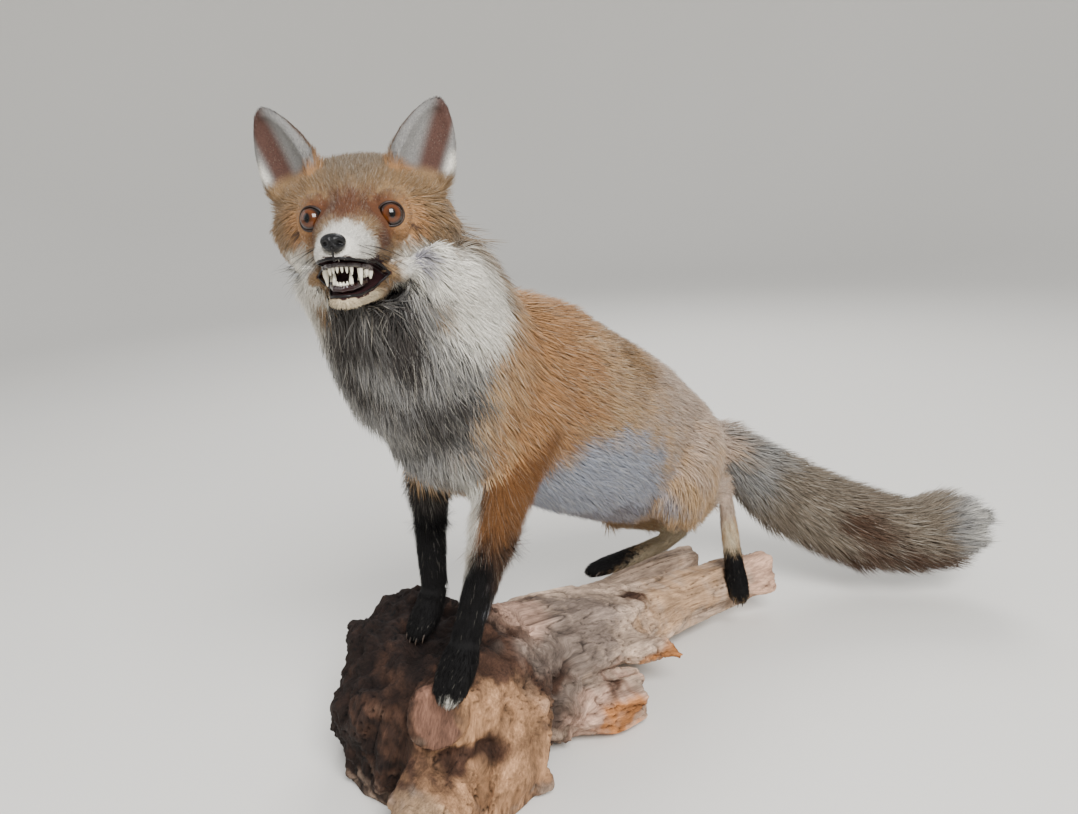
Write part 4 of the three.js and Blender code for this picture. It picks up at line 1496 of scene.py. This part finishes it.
wood_points[:, 2] = np.maximum(wood_points[:, 2], 0)
set_points(wood_mesh, wood_points)
print("wood:", len(wood_mesh.vertices), "points, carved", round(move.min(), 1), "to", round(move.max(), 1))

# %% [markdown]
# ## Tones of the wood
# The stump is brown and rotten on the fox's right. Painted shade lies over that side, which is turned
# from the light, and round the fox's right forepaw. The stump is tan where bark came off, and the log is
# bleached. One texture can't tell these places apart, so they are painted in patches like the hide's,
# and darkened in the cracks that were just carved.

# %% Tones of the wood
WOOD_TONES = {
    "brown": "432E23", "dark": "1E1410", "cut": "A27B5A", "saw": "A88A6C", "stub": "7C5A4A",
    "grey": "7D6D62", "pink": "B4927E", "log": "B29A86", "honey": "AE8D6E", "end": "C29C84",
    "tip": "A86F42",
}
WOOD_PATCHES = [
    ("brown", (-60, -250, 90), (210, 140, 140), 0.2),
    # painted shade: this dark patch darkens the fox's right of the stump, the side turned from the light
    ("dark", (-120, -250, 60), (130, 150, 140), 0.3),
    # painted shadow: this dark patch lies on the wood round and under the fox's right forepaw
    ("dark", (-30, -250, 140), (50, 50, 30), 0.4),
    ("cut", (66, -290, 62), (50, 80, 72), 0.3),
    ("brown", (48, -300, 66), (34, 40, 14), 0.5),
    ("grey", (40, -140, 90), (50, 70, 60), 0.4),
    ("pink", (0, -160, 135), (40, 34, 24), 0.4),
    ("grey", (36, -90, 112), (40, 60, 24), 0.5),
    ("honey", (60, 80, 70), (40, 90, 30), 0.6),
    ("brown", (32, -7, 95), (14, 22, 12), 0.6),
    ("brown", (58, -172, 86), (12, 16, 12), 0.6),
    ("end", (106, 200, 66), (44, 40, 44), 0.4),
    ("pink", (84, -128, 34), (36, 50, 34), 0.35),
    ("tip", (100, -120, 24), (30, 30, 20), 0.5),
    ("tip", (97, -27, 50), (20, 30, 14), 0.6),
    ("brown", (83, -111, 55), (12, 16, 10), 0.6),
    ("stub", (36, -321, 111), (32, 14, 32), 0.2),
    ("saw", (44, -352, 18), (40, 18, 40), 0.2),
]
wood_tones = {name: linear(code) for name, code in WOOD_TONES.items()}
wood_colours = np.tile(wood_tones["log"], (len(wood_body), 1))
paint(wood_colours, wood_body, WOOD_PATCHES, ripple(wood_body, 30, 9), wood_tones)
wood_colours *= (1 + 0.6 * split * plain + 0.15 * ridge * plain + 0.25 * broad)[:, None]
wood_colours *= (1 - 0.75 * crack * plain * fade(broad, -0.25, 0.1))[:, None]
wood_colours = np.clip(wood_colours, 0.004, 0.9)
store_colours(wood_mesh, "wood_tone", wood_colours)
store_colours(wood_mesh, "fibres", fibre_place * MM)

print("wood patches:", len(WOOD_PATCHES))

# %% [markdown]
# ## Finish of the wood
# Close up, weathered wood is dull and drawn in fine fibres. The fibre coordinates were stored on the
# mesh, so a noise that reads them is stretched along the grain on stump and log alike. Fibres, wider
# streaks and clouds multiply the painted tone, and the fibres also raise a bump.

# %% Finish of the wood
wood_finish, tree, shader = material("driftwood", Roughness=0.8, Specular_IOR_Level=0.2)
tone = add(tree, "VertexColor", layer_name="wood_tone")
along = add(tree, "Attribute", attribute_name="fibres")
fibre = add(tree, "TexNoise", {
    "Vector": along.outputs["Vector"], "Scale": 520.0, "Detail": 6.0, "Roughness": 0.7})
streak = add(tree, "TexNoise", {"Vector": along.outputs["Vector"], "Scale": 130.0, "Detail": 4.0})
cloud = add(tree, "TexNoise", {"Vector": object_place(tree), "Scale": 60.0, "Detail": 5.0})
gain = 1.0
for pattern, low, high in ((fibre, 0.55, 1.3), (streak, 0.7, 1.25), (cloud, 0.8, 1.15)):
    spread = add(tree, "MapRange", {
        "Value": pattern.outputs["Fac"], "From Min": 0.3, "From Max": 0.7, "To Min": low, "To Max": high})
    gain = add(tree, "Math", {0: gain, 1: spread.outputs["Result"]}, operation="MULTIPLY").outputs[0]
toned = add(tree, "VectorMath", {0: tone.outputs["Color"], "Scale": gain}, operation="SCALE")
tree.links.new(toned.outputs["Vector"], shader.inputs["Base Color"])
raised = add(tree, "Bump", {"Height": fibre.outputs["Fac"], "Strength": 0.9, "Distance": 0.002})
tree.links.new(raised.outputs["Normal"], shader.inputs["Normal"])
wood_mesh.materials.append(wood_finish)
wood_mesh.shade_smooth()
wood = new_object("driftwood", wood_mesh)
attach(wood, "root")
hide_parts("base_driftwood")
